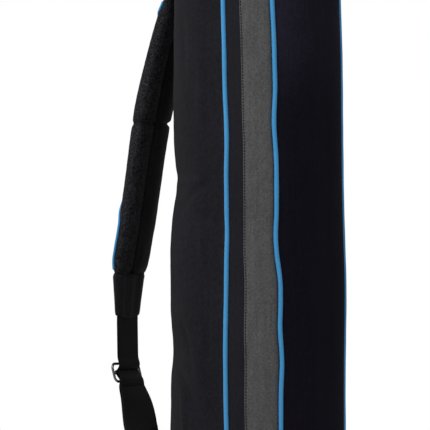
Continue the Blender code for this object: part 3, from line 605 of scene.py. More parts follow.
def zip_coil(name, v_middle, body, node, phase):
    """One half of the coil: a round wire on a flattened helix along the zip, which turns once in each pitch."""
    points, normal = skin(np.array([v_middle]), ZIP_COLUMNS, 0.0027)
    lengths = run_lengths(points[0])
    turns = int(lengths[-1] / COIL_PITCH)
    at = np.linspace(0.0, lengths[-1], turns * 7)
    path = at_lengths(points[0], lengths, at)
    out = unit(at_lengths(normal[0], lengths, at))
    side = np.cross(out, tangents(path))
    angle = 2.0 * math.pi * np.arange(len(at)) / 7.0 + phase
    wire = path + side * (COIL_HALF * np.cos(angle))[:, None] + out * (COIL_RISE * np.sin(angle))[:, None]
    heading = tangents(wire)
    across = unit(np.cross(heading, out))
    section = round_profile(2 * COIL_WIRE, 2 * COIL_WIRE, 5)
    belongs(swept(name, wire, across, np.cross(across, heading), section, NYLON), body, "nylon_coil", node)


zip_coil("rear_coil", V_ZIP + 0.0010, "bag_tub", "rear_zip_coil", 0.0)
zip_coil("front_coil", V_ZIP - 0.0010, "front_door", "front_zip_coil", math.pi)


# ---------------------------------------------------------------- the grey gusset
# A band of mid-grey polyester twill all round the door. Its rear edge is folded under and topstitched to the
# front zip tape with dark thread, and its front edge goes into the front piping's seam.

GREY_CLOTH = woven("grey_polyester", (0.095, 0.095, 0.0955), weave="twill", thread=0.0012, mottle=0.42,
                   streak=0.20, flecks=0.60, fleck_size=400.0, roughness=0.85, crush=0.0026, contrast=0.25)
V_TOPSTITCH, GREY_PROUD = V_GREY_EDGE - 0.0022, 0.0004
THREAD = woven("sewing_thread", (0.011, 0.011, 0.012), weave="twill", thread=0.0004, mottle=0.05,
               roughness=0.6, crush=0.0, contrast=0.3)


def gusset_rows():
    """Rows of the gusset from its folded edge to the front piping, close together at the topstitching."""
    edge = V_GREY_EDGE - np.array([0.0, 0.0005, 0.0012, 0.0022, 0.0030, 0.0038, 0.0050])
    return np.concatenate([edge, np.linspace(V_GREY_EDGE - 0.0075, V_FRONT_PIPING + 0.0032, 12)])


grey_v = gusset_rows()
stitch_groove = 0.0007 * hump(grey_v, V_TOPSTITCH, 0.0010) + 0.0005 * hump(grey_v, V_GREY_EDGE, 0.0006)
seam_dip = 0.0014 * hump(grey_v, V_FRONT_PIPING + 0.0032, 0.0022)
skin_piece("grey_band", grey_v, COLUMNS, GREY_CLOTH, 0.0011, "front_door", "grey_polyester", ("grey_gusset",),
           around=True, inset=-GREY_PROUD, groove=stitch_groove + seam_dip)


def stitch_row(name, points, normal, body, pitch=0.0044, length=0.0027, radius=0.00038, finish=THREAD):
    """Stitches along a line: each is a short six-sided spindle, sunk by a third, laid end to end at the pitch."""
    lengths = run_lengths(points)
    count = int(lengths[-1] / pitch)
    middles = (np.arange(count) + 0.5) * lengths[-1] / count
    steps = np.array([-0.5, -0.32, 0.0, 0.32, 0.5]) * length
    girth = np.array([0.15, 0.85, 1.0, 0.85, 0.15]) * radius
    at = middles[:, None] + steps[None, :]
    spine = at_lengths(points, lengths, at)
    out = unit(at_lengths(normal, lengths, middles))
    side = np.cross(out, unit(spine[:, -1] - spine[:, 0]))
    a = np.linspace(0.0, 2.0 * math.pi, 6, endpoint=False)
    ring = side[:, None, :] * np.cos(a)[None, :, None] + out[:, None, :] * np.sin(a)[None, :, None]
    sunk = out * radius * 0.3
    verts = spine[:, :, None, :] + sunk[:, None, None, :] + ring[:, None] * girth[None, :, None, None]
    base = np.arange(count)[:, None, None, None] * 30
    i, j = np.meshgrid(np.arange(4), np.arange(6), indexing="ij")
    k = (j + 1) % 6
    quads = np.stack([i * 6 + j, i * 6 + k, (i + 1) * 6 + k, (i + 1) * 6 + j], axis=-1)[None] + base
    caps = np.array([[5, 4, 3, 2, 1, 0], [24, 25, 26, 27, 28, 29]])[None] + base[:, 0]
    quads, caps = quads.reshape(-1), caps.reshape(-1)
    mesh = bpy.data.meshes.new(name)
    mesh.vertices.add(verts.size // 3)
    mesh.vertices.foreach_set("co", verts.astype(np.float32).ravel())
    mesh.loops.add(len(quads) + len(caps))
    mesh.loops.foreach_set("vertex_index", np.concatenate([quads, caps]).astype(np.int32))
    starts = np.concatenate([np.arange(0, len(quads), 4), len(quads) + np.arange(0, len(caps), 6)])
    mesh.polygons.add(len(starts))
    mesh.polygons.foreach_set("loop_start", starts.astype(np.int32))
    mesh.update(calc_edges=True)
    form = bmesh.new()
    form.from_mesh(mesh)
    bmesh.ops.recalc_face_normals(form, faces=form.faces)
    form.to_mesh(mesh)
    form.free()
    mesh.uv_layers.new(name="cloth")
    mesh.shade_smooth()
    mesh.materials.append(finish)
    obj = bpy.data.objects.new(name, mesh)
    bpy.context.scene.collection.objects.link(obj)
    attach(obj, body)


topstitch_line, topstitch_out = skin(np.array([V_TOPSTITCH]), COLUMNS, -GREY_PROUD)
stitch_row("gusset_topstitch", topstitch_line[0], topstitch_out[0], "front_door", radius=0.0009, length=0.0024)


# ---------------------------------------------------------------- the door's front panel
# One smooth panel of finely ribbed black polyester over a foam board. It rounds over at its edges into the
# front piping and bellies out a little down its middle.

# The ribbed cloth is darker than the black cloth: partly its own colour, partly painted shade for the door's face
# turned from the zip-side lamp.
RIBBED_CLOTH = woven("ribbed_black_polyester", (0.0080, 0.0070, 0.0121), weave="ribbed", thread=0.0030,
                     mottle=0.34, streak=0.20, flecks=0.40, fleck_size=200.0, roughness=0.80, crush=0.0005,
                     contrast=0.30, gloss=0.04)
front_panel = skin_piece(
    "front_panel", seam_rows(V_FRONT_PIPING - 0.0032, -BACK_MIDDLE), COLUMNS, RIBBED_CLOTH, COVER_THICK,
    "front_door", "ribbed_polyester", ("front_cover",), around=True, weld=True)


def panel_highlight_and_wear(x, y, z):
    """Painted highlight: paler towards the upper end and the zip side, where the panel catches the light; and worn
    a little paler along its edges.
    """
    return 1.25 * ease(z, 0.560, 0.700) * (1.0 - 0.55 * ease(x, -0.100, 0.010)) + 0.15 * ease(y, -0.128, -0.112)


# Painted highlight on the panel's upper zip-side part, with a little wear along its edges.
wear_and_painted_light(front_panel, panel_highlight_and_wear)
skin_piece(
    "door_lining", np.linspace(V_GREY_EDGE - 0.001, -BACK_MIDDLE, 40), COLUMNS, LINING, BOARD_THICK, "front_door",
    "foam", ("front_foam", "door_left_foam", "door_right_foam", "door_top_foam", "door_bottom_foam"),
    around=True, weld=True, inset=BOARD_INSET + BOARD_THICK, inwards=True, fill=0.9)


# ---------------------------------------------------------------- the fabric hinge
# Down the side away from the zip, one strip of the black cloth joins the tub to the door, laid as one fixed piece.

HINGE_HALF = 0.0045
hinge_cloth = skin_piece("hinge_cloth", np.linspace(REAR_EDGE, FRONT_EDGE, 19), HINGE_COLUMNS, BLACK_CLOTH, 0.0010,
                         None, None, (), inset=TAPE_SUNK)
hinge_line, _ = skin(np.array([V_ZIP + HINGE_HALF, V_ZIP - HINGE_HALF]), HINGE_COLUMNS)
hinge_middle = len(HINGE_COLUMNS) // 2
bridges(hinge_cloth, "bag_tub", "front_door", *map(tuple, hinge_line[:, hinge_middle]), "black_polyester",
        "rear_hinge_fabric", "front_hinge_fabric")


# ---------------------------------------------------------------- metal
# The slider and its pull, the tri-glide and the lower ring are die-cast or bent steel with a black nickel
# plating, worn brighter where it is handled.


def plated(name, colour, roughness):
    """Plated metal: a satin base, fine brushed streaks and small worn spots from noise."""
    made, tree, shader, place = new_material(name)
    paling = add_node(tree, "ShaderNodeTexNoise", {"Vector": place, "Scale": 130.0, "Detail": 4.0})
    brush = add_node(tree, "ShaderNodeTexNoise", {"Vector": place, "Scale": 1400.0, "Detail": 2.0})
    paint = add_node(tree, "ShaderNodeMix", {"Factor": paling.outputs["Fac"]}, data_type="RGBA")
    paint.inputs[6].default_value = (*[c * 0.75 for c in colour], 1.0)
    paint.inputs[7].default_value = (*[min(c * 1.3, 1.0) for c in colour], 1.0)
    tree.links.new(paint.outputs[2], shader.inputs["Base Color"])
    spread(tree, shader, "Roughness", paling.outputs["Fac"], roughness * 1.35, roughness * 0.7)
    bump = add_node(tree, "ShaderNodeBump", {"Height": brush.outputs["Fac"], "Distance": 0.00003})
    tree.links.new(bump.outputs[0], shader.inputs["Normal"])
    shader.inputs["Metallic"].default_value = 1.0
    return made


def repaint(node, finish):
    """Puts a material in every slot of one of the frame's own solids."""
    for i in range(len(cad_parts[node].material_slots)):
        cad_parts[node].material_slots[i].material = finish


METAL = plated("black_nickel", (0.25, 0.25, 0.26), 0.24)
repaint("zip_slider", METAL)
repaint("zip_pull", METAL)


# ---------------------------------------------------------------- end pads and dividers
# A ball rides in each of three cells. Foam boards quilted in lining cloth close the two ends and stand between
# the cells, and a crowned foam rib behind each ball's upper and lower half cradles it when the bag lies down.

WALL_THICK, GAP = 0.0053, 0.0003
END_PAD_THICK, DIVIDER_THICK, BOARD_ROOM, END_ROOM = 0.030, 0.012, 0.0078, 0.055
RIB_THICK, RIB_HEIGHT, RIB_REACH, RIB_ARC = 0.014, 0.016, 0.062, 0.038
CELL_START = BAG_BOTTOM + WALL_THICK + END_PAD_THICK + 2 * GAP
CELL_HEIGHT = (BAG_TOP - WALL_THICK - END_PAD_THICK - 2 * GAP - CELL_START - 2 * DIVIDER_THICK) / 3
QUILTED = woven("quilted_lining", (0.040, 0.041, 0.046), thread=0.0008, mottle=0.15, roughness=0.6)


def section_ring(inset, z, v_start=-BACK_MIDDLE + 0.001):
    """The bag's section at a height as a closed ring of points: up one side from v_start and back down the
    other, each v giving a depth and a half-width as it does on the skin."""
    v = np.linspace(v_start, BACK_MIDDLE, 60)
    turn = np.clip((np.abs(v) - SIDE_FLAT) / SIDE_CORNER, 0.0, math.pi / 2)
    depth = np.clip(v, -SIDE_FLAT, SIDE_FLAT) + np.sign(v) * (SIDE_CORNER - inset) * np.sin(turn)
    half = SIDE_FLAT + (SIDE_CORNER - inset) * np.cos(turn) - np.maximum(np.abs(v) - V_BACK_START, 0.0)
    x, y = np.concatenate([half, -half[-2::-1]]), np.concatenate([depth, depth[-2::-1]])
    scale = 1.0 + TAPER_PER_METRE * (TAPER_MIDDLE - z)
    return np.stack([x * scale, y * scale + BAG_AXIS_Y, np.full_like(x, z)], axis=-1)


def quilted_board(name, z_low, thickness, inset, node, depth_of_quilt):
    """A crowned board: rings of the bag's section shrink to the middle over the top and the bottom, at a height
    that falls off by the fourth power towards the rim, with stitched grooves across both faces."""
    middle = z_low + thickness / 2
    rim = section_ring(inset, middle)[:-1]
    centre = np.array([0.0, BAG_AXIS_Y, middle])
    q = np.linspace(-1.0, 1.0, 49)[:, None]
    reach = 1.0 - np.abs(q) ** 3
    reach[0] = reach[-1] = 0.0
    points = centre + (rim[None] - centre) * reach[..., None]
    lift = np.sign(q) * thickness / 2 * np.sqrt(np.clip(1.0 - reach**6, 0.0, 1.0)) * np.ones(len(rim))
    u, w = points[..., 0] + points[..., 1], points[..., 0] - points[..., 1]
    lines = np.maximum(hump(np.mod(u + 0.022, 0.044), 0.022, 0.0022), hump(np.mod(w, 0.044), 0.022, 0.0022))
    lift -= np.sign(lift) * np.minimum(depth_of_quilt * lines * ease(reach, 0.96, 0.85), np.abs(lift))
    points[..., 2] += lift
    uv = np.concatenate([points[..., :2], points[:, :1, :2]], axis=1)
    belongs(lay_mesh(name, points, uv, QUILTED, around=True, weld=True), "bag_tub", "foam", node, fill=0.7)


for word, z_low in (("lower", CELL_START - END_PAD_THICK - GAP),
                    ("upper", CELL_START + 3 * CELL_HEIGHT + 2 * DIVIDER_THICK + GAP)):
    quilted_board(f"{word}_end_cushion", z_low, END_PAD_THICK, END_ROOM, f"{word}_end_pad", 0.003)
for i, word in enumerate(("lower", "upper")):
    quilted_board(f"{word}_cell_wall", CELL_START + (i + 1) * CELL_HEIGHT + i * DIVIDER_THICK, DIVIDER_THICK,
                  BOARD_ROOM, f"{word}_divider", 0.0016)

for i, word in enumerate(("lower", "middle", "upper")):
    cell_middle = CELL_START + i * (CELL_HEIGHT + DIVIDER_THICK) + CELL_HEIGHT / 2
    for part, z in (("low", cell_middle - RIB_REACH), ("high", cell_middle + RIB_REACH)):
        rib_line = section_ring(WALL_THICK + GAP + RIB_THICK / 2, z, V_BACK_START - RIB_ARC)
        rib_up = everywhere(UP, rib_line)
        rib_ends = np.sqrt(np.clip(1.0 - np.abs(np.linspace(-1.0, 1.0, len(rib_line))) ** 14, 0.02, 1.0))
        rib_profile = round_profile(1.0, 1.0, 20)
        rib_profile = np.sign(rib_profile) * np.abs(2.0 * rib_profile) ** 0.6 / 2.0
        rib_profile = rib_profile[None] * np.array([RIB_HEIGHT, RIB_THICK]) * rib_ends[:, None, None]
        rib_out = np.cross(tangents(rib_line), rib_up)
        rib = swept(f"{word}_cell_{part}_cradle", rib_line, rib_up, rib_out, rib_profile, QUILTED)
        belongs(rib, "bag_tub", "foam", f"{word}_cell_{part}_rib", fill=0.8)


# ---------------------------------------------------------------- the base plate
# A moulded black rubber plate under the tub, pebbled so that it grips, on which the bag stands.

RUBBER, rubber_tree, rubber_shader, rubber_place = new_material("black_rubber")
pebbles = add_node(rubber_tree, "ShaderNodeTexVoronoi", {"Vector": rubber_place, "Scale": 520.0})
scuffs = add_node(rubber_tree, "ShaderNodeTexNoise", {"Vector": rubber_place, "Scale": 45.0, "Detail": 5.0})
scuffed = scuffs.outputs["Fac"]
spread(rubber_tree, rubber_shader, "Base Color", scuffed, 0.012, 0.034, **{"From Min": 0.3, "From Max": 0.75})
spread(rubber_tree, rubber_shader, "Roughness", scuffed, 0.6, 0.9)
rubber_bump = add_node(rubber_tree, "ShaderNodeBump", {"Height": pebbles.outputs["Distance"], "Distance": 0.0003})
rubber_tree.links.new(rubber_bump.outputs[0], rubber_shader.inputs["Normal"])
rubber_shader.inputs["Specular IOR Level"].default_value = 0.25
repaint("base_plate", RUBBER)


# ---------------------------------------------------------------- the grab handle
# A strip of the black cloth rolled round a cord, stitched along its underside, whose two ends lie under square
# patches sewn to the top end.

HANDLE_HALF_SPAN, HANDLE_RISE, HANDLE_RADIUS = 0.058, 0.034, 0.0060
handle_turn = np.radians(np.linspace(0.0, 180.0, 61))
handle_line = np.stack([-HANDLE_HALF_SPAN * np.cos(handle_turn), np.zeros(61),
                        BAG_TOP + 0.0085 + HANDLE_RISE * np.sin(handle_turn) ** 0.7], axis=-1)
handle_side = everywhere(BEHIND, handle_line)
handle_out = np.cross(handle_side, tangents(handle_line))
handle_end = 1.0 - np.sin(handle_turn)
handle_size = np.stack([2 * HANDLE_RADIUS * (1.0 + 0.5 * handle_end**6),
                        2 * HANDLE_RADIUS * (1.0 - 0.35 * handle_end**6)], axis=-1)
handle_roll = swept("rolled_handle", handle_line, handle_side, handle_out,
                    round_profile(1.0, 1.0, 18)[None] * handle_size[:, None], BLACK_CLOTH)
bridges(handle_roll, "bag_tub", "top_handle", (0.0, 0.0, BAG_TOP + 0.0065), (0.0, 0.0, BAG_TOP + 0.0165),
        "black_polyester", "handle_roll")
stitch_row("handle_stitch", (handle_line - handle_out * HANDLE_RADIUS)[6:-6], -handle_out[6:-6], "top_handle")


PATCH_THICK, PATCH_SEAM, BOX_PITCH, BOX_STITCH = 0.0018, 0.84, 0.0036, 0.0026
BOX_AND_CROSS = np.array([(-1, -1), (1, -1), (1, 1), (-1, 1), (-1, -1), (1, 1), (1, -1), (-1, 1)], float)


def drawn_line(corners):
    """Points along the straight runs from corner to corner."""
    t = np.linspace(0.0, 1.0, 12)[:-1, None]
    return np.concatenate([p + (q - p) * t for p, q in zip(corners[:-1], corners[1:])])


def sewn_patch(name, middle, width, depth, node):
    """A square of cloth with soft corners and turned-in edges, crowned a little over what it holds, with a
    stitched box and cross on it."""
    a, b = np.meshgrid(np.linspace(-1.0, 1.0, 25), np.linspace(-1.0, 1.0, 25), indexing="ij")
    x = a * np.sqrt(1.0 - 0.10 * b**6) * width / 2
    y = b * np.sqrt(1.0 - 0.10 * a**6) * depth / 2
    rim = np.maximum(np.abs(a), np.abs(b))
    rise = PATCH_THICK * (1.0 - rim**12 * 0.6) - 0.0003 * hump(rim, PATCH_SEAM, 0.05)
    grid = np.stack([x, y, rise], axis=-1) + middle
    patch = lay_mesh(name, grid, np.stack([x, y], axis=-1), BLACK_CLOTH, False, everywhere(UP, grid))
    belongs(made_solid(patch, PATCH_THICK * 0.9), "bag_tub", "black_polyester", node)
    line = drawn_line(BOX_AND_CROSS * PATCH_SEAM) * np.array([width, depth]) / 2
    points = np.insert(line, 2, PATCH_THICK, axis=1) + middle
    stitch_row(f"{name}_stitch", points, everywhere(UP, points), "bag_tub", pitch=BOX_PITCH, length=BOX_STITCH)


for side, word in ((-1, "left"), (1, "right")):
    sewn_patch(f"{word}_handle_patch", (side * (HANDLE_HALF_SPAN + 0.004), 0.0, BAG_TOP + 0.0003), 0.030, 0.034,
               f"handle_{word}_patch")


# ---------------------------------------------------------------- the shoulder pad
# A long foam pad: a plain cloth cover away from the bag, and towards it a lining in two lengthwise lobes, one
# of speckled spacer mesh and one of smooth cloth whose darker tone is painted shade, sewn together down the
# middle and drawn in by one cross seam.

PAD_TOP, PAD_BOTTOM, PAD_HALF = 0.742, 0.331, 0.0395
PINCH_Z = 0.556


def strap_depth(z):
    """How far behind the bag's axis the strap hangs at each height: straight runs between the heights where it
    changes its lean."""
    heights = [0.085, 0.105, 0.119, 0.133, 0.147, 0.160, 0.171, 0.182, 0.266, 0.331, 0.413, 0.530, 0.648, 0.742]
    depths = [0.2062, 0.2095, 0.2118, 0.215, 0.2187, 0.2248, 0.2319, 0.2346, 0.2362, 0.2334, 0.216, 0.1955, 0.168,
              0.1365]
    return np.interp(z, heights, depths) + BAG_AXIS_Y


def strap_line(low, high, count, reach=0.010):
    """Points down the middle of the strap from high to low, its corners rounded by a running mean."""
    z = np.linspace(high, low, count)
    y = np.mean([strap_depth(z + r) for r in np.linspace(-reach, reach, 9)], axis=0)
    return np.stack([np.zeros(count), y, z], axis=-1)


def strap_vectors(path):
    """Directions along a path in the Y-Z plane and away from the bag."""
    along = tangents(path)
    return along, np.stack([np.zeros(len(path)), -along[:, 2], along[:, 1]], axis=-1)


pad_line = strap_line(PAD_BOTTOM, PAD_TOP, 120, 0.035)
_, pad_out = strap_vectors(pad_line)
pad_t = np.linspace(0.0, 1.0, len(pad_line))
pad_round = np.linspace(0.0, 2.0 * math.pi, 56, endpoint=False)
pad_width = PAD_HALF * (1.0 - 0.10 * np.abs(2.0 * pad_t - 1.0) ** 12)
pad_full = np.sqrt(np.clip(1.0 - np.abs(2.0 * pad_t - 1.0) ** 22, 0.10, 1.0))
pad_across = np.sign(np.cos(pad_round)) * np.abs(np.cos(pad_round)) ** 0.7
pad_lobe = np.sqrt(np.clip(1.0 - (2.0 * np.abs(pad_across) - 1.0) ** 2, 0.0, 1.0))
pad_height = np.where(np.sin(pad_round) > 0.0, 0.0132 * np.abs(np.sin(pad_round)) ** 0.4,
                      -0.0098 * pad_lobe - 0.0022)
pad_profile = np.stack([pad_width[:, None] * pad_across[None], pad_full[:, None] * pad_height[None]], axis=-1)
pad_sideways = everywhere(ACROSS, pad_line)
COVER_CLOTH = woven("pad_cover_cloth", (0.0172, 0.0170, 0.0195), thread=0.0010, mottle=0.30, flecks=0.6,
                    fleck_size=240.0, roughness=0.7)


def strap_place(points):
    """Where points lie on the pad: across, away from the bag, and the distance down its middle line."""
    lengths = run_lengths(pad_line)
    z = np.clip(points[:, 2], pad_line[-1, 2], pad_line[0, 2])
    down = np.interp(-z, -pad_line[:, 2], lengths)
    y = np.interp(down, lengths, pad_line[:, 1])
    lean = np.interp(down, lengths, pad_out[:, 1])
    return points[:, 0], (points[:, 1] - y) * lean, down


AIR_FRAMES = 20


def puffed(obj, held, pressure, most):
    """Fills a closed pad with air: an even remesh, then cloth under pressure with the held points fixed, and
    each point's way capped at the most it may move."""
    remesh = obj.modifiers.new("even", "REMESH")
    remesh.mode = "VOXEL"
    remesh.voxel_size = 0.0042
    settled(obj)
    start = points_of(obj)
    group = obj.vertex_groups.new(name="held")
    group.add(np.flatnonzero(held(start)).tolist(), 1.0, "REPLACE")
    cloth = obj.modifiers.new("air", "CLOTH")
    cloth.settings.quality = 6
    cloth.settings.mass = 0.25
    cloth.settings.tension_stiffness = 12.0
    cloth.settings.compression_stiffness = 12.0
    cloth.settings.bending_stiffness = 0.6
    cloth.settings.use_pressure = True
    cloth.settings.uniform_pressure_force = pressure
    cloth.settings.vertex_group_mass = "held"
    cloth.settings.effector_weights.gravity = 0.0
    cloth.point_cache.frame_end = AIR_FRAMES
    for step in range(1, AIR_FRAMES + 1):
        bpy.context.scene.frame_set(step)
    graph = bpy.context.evaluated_depsgraph_get()
    way = points_of(obj.evaluated_get(graph)) - start
    far = np.linalg.norm(way, axis=1, keepdims=True)
    way *= np.minimum(1.0, most / np.maximum(far, 1e-9))
    obj.modifiers.clear()
    obj.vertex_groups.clear()
    obj.data.vertices.foreach_set("co", (start + way).astype(np.float32).ravel())
    bpy.context.scene.frame_set(1)


pad = swept("shoulder_pad", pad_line, pad_sideways, pad_out, pad_profile, COVER_CLOTH)


def pad_held(points):
    """The edge seams, the seam between the lobes, the cross seam and the two ends don't move."""
    across, out, down = strap_place(points)
    edge = (np.abs(across) > PAD_HALF - 0.0035) & (np.abs(out) < 0.0030)
    channel = (np.abs(across) < 0.0030) & (out < 0.0)
    cross = (np.abs(points[:, 2] - PINCH_Z) < 0.0030) & (out < 0.0030)
    ends = (points[:, 2] > PAD_TOP - 0.006) | (points[:, 2] < PAD_BOTTOM + 0.006)
    return edge | channel | cross | ends


puffed(pad, pad_held, 4.0, 0.0058)
finer = pad.modifiers.new("finer", "SUBSURF")
finer.levels = finer.render_levels = 1
settled(pad)
pad_points = points_of(pad).astype(float)
across, out, down = strap_place(pad_points)
lean_y = np.interp(down, run_lengths(pad_line), pad_out[:, 1])
lean_z = np.interp(down, run_lengths(pad_line), pad_out[:, 2])
towards = ease(out, 0.002, -0.003)
push = 0.0052 * hump(across, 0.0, 0.0030) * towards
push += 0.0040 * hump(pad_points[:, 2], PINCH_Z, 0.0028) * towards
push += 0.0004 * crumple(across, down, 61, 10, 0.018, 0.060) * towards
push += 0.0012 * crumple(across, 0.4 * down, 67, 6, 0.012, 0.030) * towards * (
    0.2 + hump(pad_points[:, 2], 0.375, 0.045))
push += 0.0036 * hump(pad_points[:, 2], 0.580, 0.055) * ease(out, 0.002, 0.008)
pad_points[:, 1] += push * lean_y
pad_points[:, 2] += push * lean_z
pad_points[:, 0] *= 1.0 - 0.085 * hump(pad_points[:, 2], PINCH_Z, 0.0035) - 0.03 * hump(
    pad_points[:, 2], PINCH_Z, 0.014)
pad.data.vertices.foreach_set("co", pad_points.astype(np.float32).ravel())

MESH_CLOTH = woven("spacer_mesh", (0.0175, 0.0175, 0.0200), thread=0.0026, relief=0.0008, mottle=0.5, flecks=2.1,
                   fleck_size=330.0, streak=0.6, roughness=0.85, contrast=0.40, crush=0.0010)
# The smooth lobe's cloth is darker than the mesh: painted shade for the lobe that faces away from the light.
SMOOTH_SHADED_CLOTH = woven("pad_lining_cloth", (0.0142, 0.0138, 0.0160), thread=0.0012, mottle=0.40, streak=0.30,
                     flecks=0.7, fleck_size=240.0, roughness=0.65)
pad.data.materials.append(MESH_CLOTH)
pad.data.materials.append(SMOOTH_SHADED_CLOTH)
face_middles = np.empty(len(pad.data.polygons) * 3, np.float32)
pad.data.polygons.foreach_get("center", face_middles)
face_across, face_out, _ = strap_place(face_middles.reshape(-1, 3))
face_z = face_middles[2::3]
rolled_over = 0.0105 * ease(face_z, 0.405, 0.450) * ease(face_z, 0.735, 0.712)
lining_edge = 0.0005 + rolled_over * ease(np.abs(face_across), 0.60 * PAD_HALF, 0.85 * PAD_HALF)
pick = np.where(face_out > lining_edge, 0, np.where(face_across < 0.0, 1, 2))
pad.data.polygons.foreach_set("material_index", pick.astype(np.int32))
corner_points = np.empty(len(pad.data.loops), np.int32)
pad.data.loops.foreach_get("vertex_index", corner_points)
while pad.data.uv_layers:
    pad.data.uv_layers.remove(pad.data.uv_layers[0])
pad_map = pad.data.uv_layers.new(name="cloth")
pad_uv = np.stack([across + np.sign(across) * 0.5 * out, down], axis=-1)[corner_points]
pad_map.uv.foreach_set("vector", pad_uv.astype(np.float32).ravel())
pad.data.shade_smooth()
belongs(pad, "shoulder_strap", "spacer_mesh", "pad_cover", "pad_lining", fill=0.75)


# ---------------------------------------------------------------- the pad's piping
# A thin blue cord is caught in the pad's two edge seams. Along the middle of the pad the lining rolls round the
# edge and carries the cord to the back; towards both ends the cord comes forward on to the edge.

for side, word in ((-1, "left"), (1, "right")):
    rolled = ease(pad_line[:, 2], 0.405, 0.450) * ease(pad_line[:, 2], 0.724, 0.708)
    beyond = side * (pad_width + 0.010 - 0.0270 * rolled)
    lift = 0.0085 + 0.0200 * rolled
    aimed_at = pad_line + pad_sideways * beyond[:, None] + pad_out * lift[:, None]
    nearest = np.argmin(np.sum((aimed_at[:, None] - pad_points[None]) ** 2, axis=-1), axis=1)
    cord_line = pad_points[nearest] + unit(aimed_at - pad_points[nearest]) * 0.0008
    for _ in range(3):
        cord_line[1:-1] = (cord_line[:-2] + 2.0 * cord_line[1:-1] + cord_line[2:]) / 4.0
    cord = swept(f"pad_{word}_cord", cord_line[1:-1], pad_sideways[1:-1], pad_out[1:-1],
                 round_profile(0.0034, 0.0034, 10), PIPING_CLOTH)
    belongs(cord, "shoulder_strap", "blue_piping", f"pad_{word}_piping")

LIGHT_THREAD = woven("light_thread", (0.20, 0.20, 0.21), weave="twill", thread=0.0004, mottle=0.05, roughness=0.6,
                     crush=0.0)
TACK_Z = 0.6145
tack_t = np.linspace(-1.0, 1.0, 9)
tack_y = strap_line(TACK_Z - 0.002, TACK_Z, 2)[0, 1] - 0.0005 - 0.0055 * tack_t
tack_aim = np.stack([0.0 * tack_t - PAD_HALF - 0.012, tack_y, TACK_Z - 0.0020 * tack_t], axis=-1)
tack_near = pad_points[np.argmin(np.sum((tack_aim[:, None] - pad_points[None]) ** 2, axis=-1), axis=1)]
tack_at = np.stack([tack_near[:, 0] - 0.0003, tack_aim[:, 1], tack_aim[:, 2]], axis=-1)
stitch_row("pad_tack", tack_at, everywhere((-0.6, -0.8, 0.0), tack_at), "shoulder_strap", pitch=0.0028,
           length=0.0024, finish=LIGHT_THREAD)


# ---------------------------------------------------------------- the pad's sleeves
# At each end the cover cloth tapers into a flat sleeve over the webbing, with three soft ribs along it where it
# is stitched, and a mouth that is cut in a shallow curve.

SLEEVE_BOTTOM, SLEEVE_RIBS = 0.266, 3


def sleeve(name, path, wide, narrow, thick, thin, node, mouth):
    """A flat tube that tapers down its path: a superellipse whose faces carry soft ribs, its mouth bowed along
    the path by the square of the distance from the middle."""
    t = np.linspace(0.0, 1.0, len(path))[:, None]
    a = np.linspace(0.0, 2.0 * math.pi, 64, endpoint=False)[None]
    across = np.sign(np.cos(a)) * np.abs(np.cos(a)) ** 0.75
    rise = np.sign(np.sin(a)) * np.abs(np.sin(a)) ** 0.60
    half = (wide + (narrow - wide) * t**0.8) / 2 * (1.0 - 0.05 * hump(t, 0.0, 0.05))
    deep = (thick + (thin - thick) * t**0.7) / 2 * (1.0 - 0.35 * hump(t, 0.0, 0.04))
    deep = deep * (1.0 - 0.3 * hump(t, 1.0, 0.05))
    x = across * half
    y = rise * deep * (1.0 + 0.17 * np.cos(across * math.pi * SLEEVE_RIBS))
    y = y + 0.0002 * crumple(x, t * 0.06, 5, 6, 0.012, 0.03)
    along, out = strap_vectors(path)
    bow = mouth * (0.4 - across**2) * ease(t, 0.35, 1.0)
    grid = path[:, None] + x[..., None] * ACROSS + out[:, None] * y[..., None]
    grid = grid + along[:, None] * bow[..., None]
    uv = np.stack([np.broadcast_to(np.linspace(0.0, 0.14, 65), (len(path), 65)),
                   np.broadcast_to(run_lengths(path)[:, None], (len(path), 65))], axis=-1)
    belongs(lay_mesh(name, grid, uv, COVER_CLOTH, around=True), "shoulder_strap", "black_polyester", node, fill=0.4)


sleeve("lower_sleeve", strap_line(SLEEVE_BOTTOM + 0.002, PAD_BOTTOM + 0.002, 34), 0.0775, 0.060, 0.0165, 0.0085,
       "pad_lower_sleeve", 0.006)
sleeve("upper_sleeve", strap_line(PAD_TOP - 0.004, PAD_TOP + 0.016, 12)[::-1], 0.062, 0.054, 0.0110, 0.0062,
       "pad_upper_sleeve", 0.002)


# ---------------------------------------------------------------- the webbing
# Black polyester webbing, about 50 mm wide and 2.4 mm thick. From the pad it runs down through the tri-glide and
# turns round the lower ring; its return run comes up on the bag's side and is sewn back round the middle bar.

WEB_WIDTH, WEB_THICK = 0.0525, 0.0024
GLIDE_Z, GLIDE_LEAN, GLIDE_BAR = 0.1845, math.radians(74.0), 0.0122
GLIDE_ROD, RETURN_STEP = 0.0036, 0.0034
RING_Z, RING_BAR_Y, RING_DEPTH, RING_WIRE, WRAP_RADIUS = 0.050, 0.110, 0.030, 0.0026, 0.0064
WEBBING = woven("black_webbing", (0.0050, 0.0050, 0.0056), weave="webbing", thread=0.0021, relief=0.00030,
                mottle=0.20, roughness=0.62, contrast=0.5, crush=0.0002)


def web_profile(width, thickness, points=22):
    """A strap's section: flat faces a little fuller at the two selvedges, and round edges."""
    a = np.linspace(0.0, 2.0 * math.pi, points, endpoint=False)
    x = np.sign(np.cos(a)) * np.abs(np.cos(a)) ** 0.55
    y = np.sign(np.sin(a)) * np.abs(np.sin(a)) ** 0.35
    return np.stack([x * width / 2, y * thickness / 2 * (0.86 + 0.14 * hump(np.abs(x), 0.93, 0.08))], axis=-1)


def webbing(name, path, side, out, thickness=WEB_THICK):
    """A strap's section carried along a path."""
    return swept(name, path, side, out, web_profile(WEB_WIDTH, thickness), WEBBING)


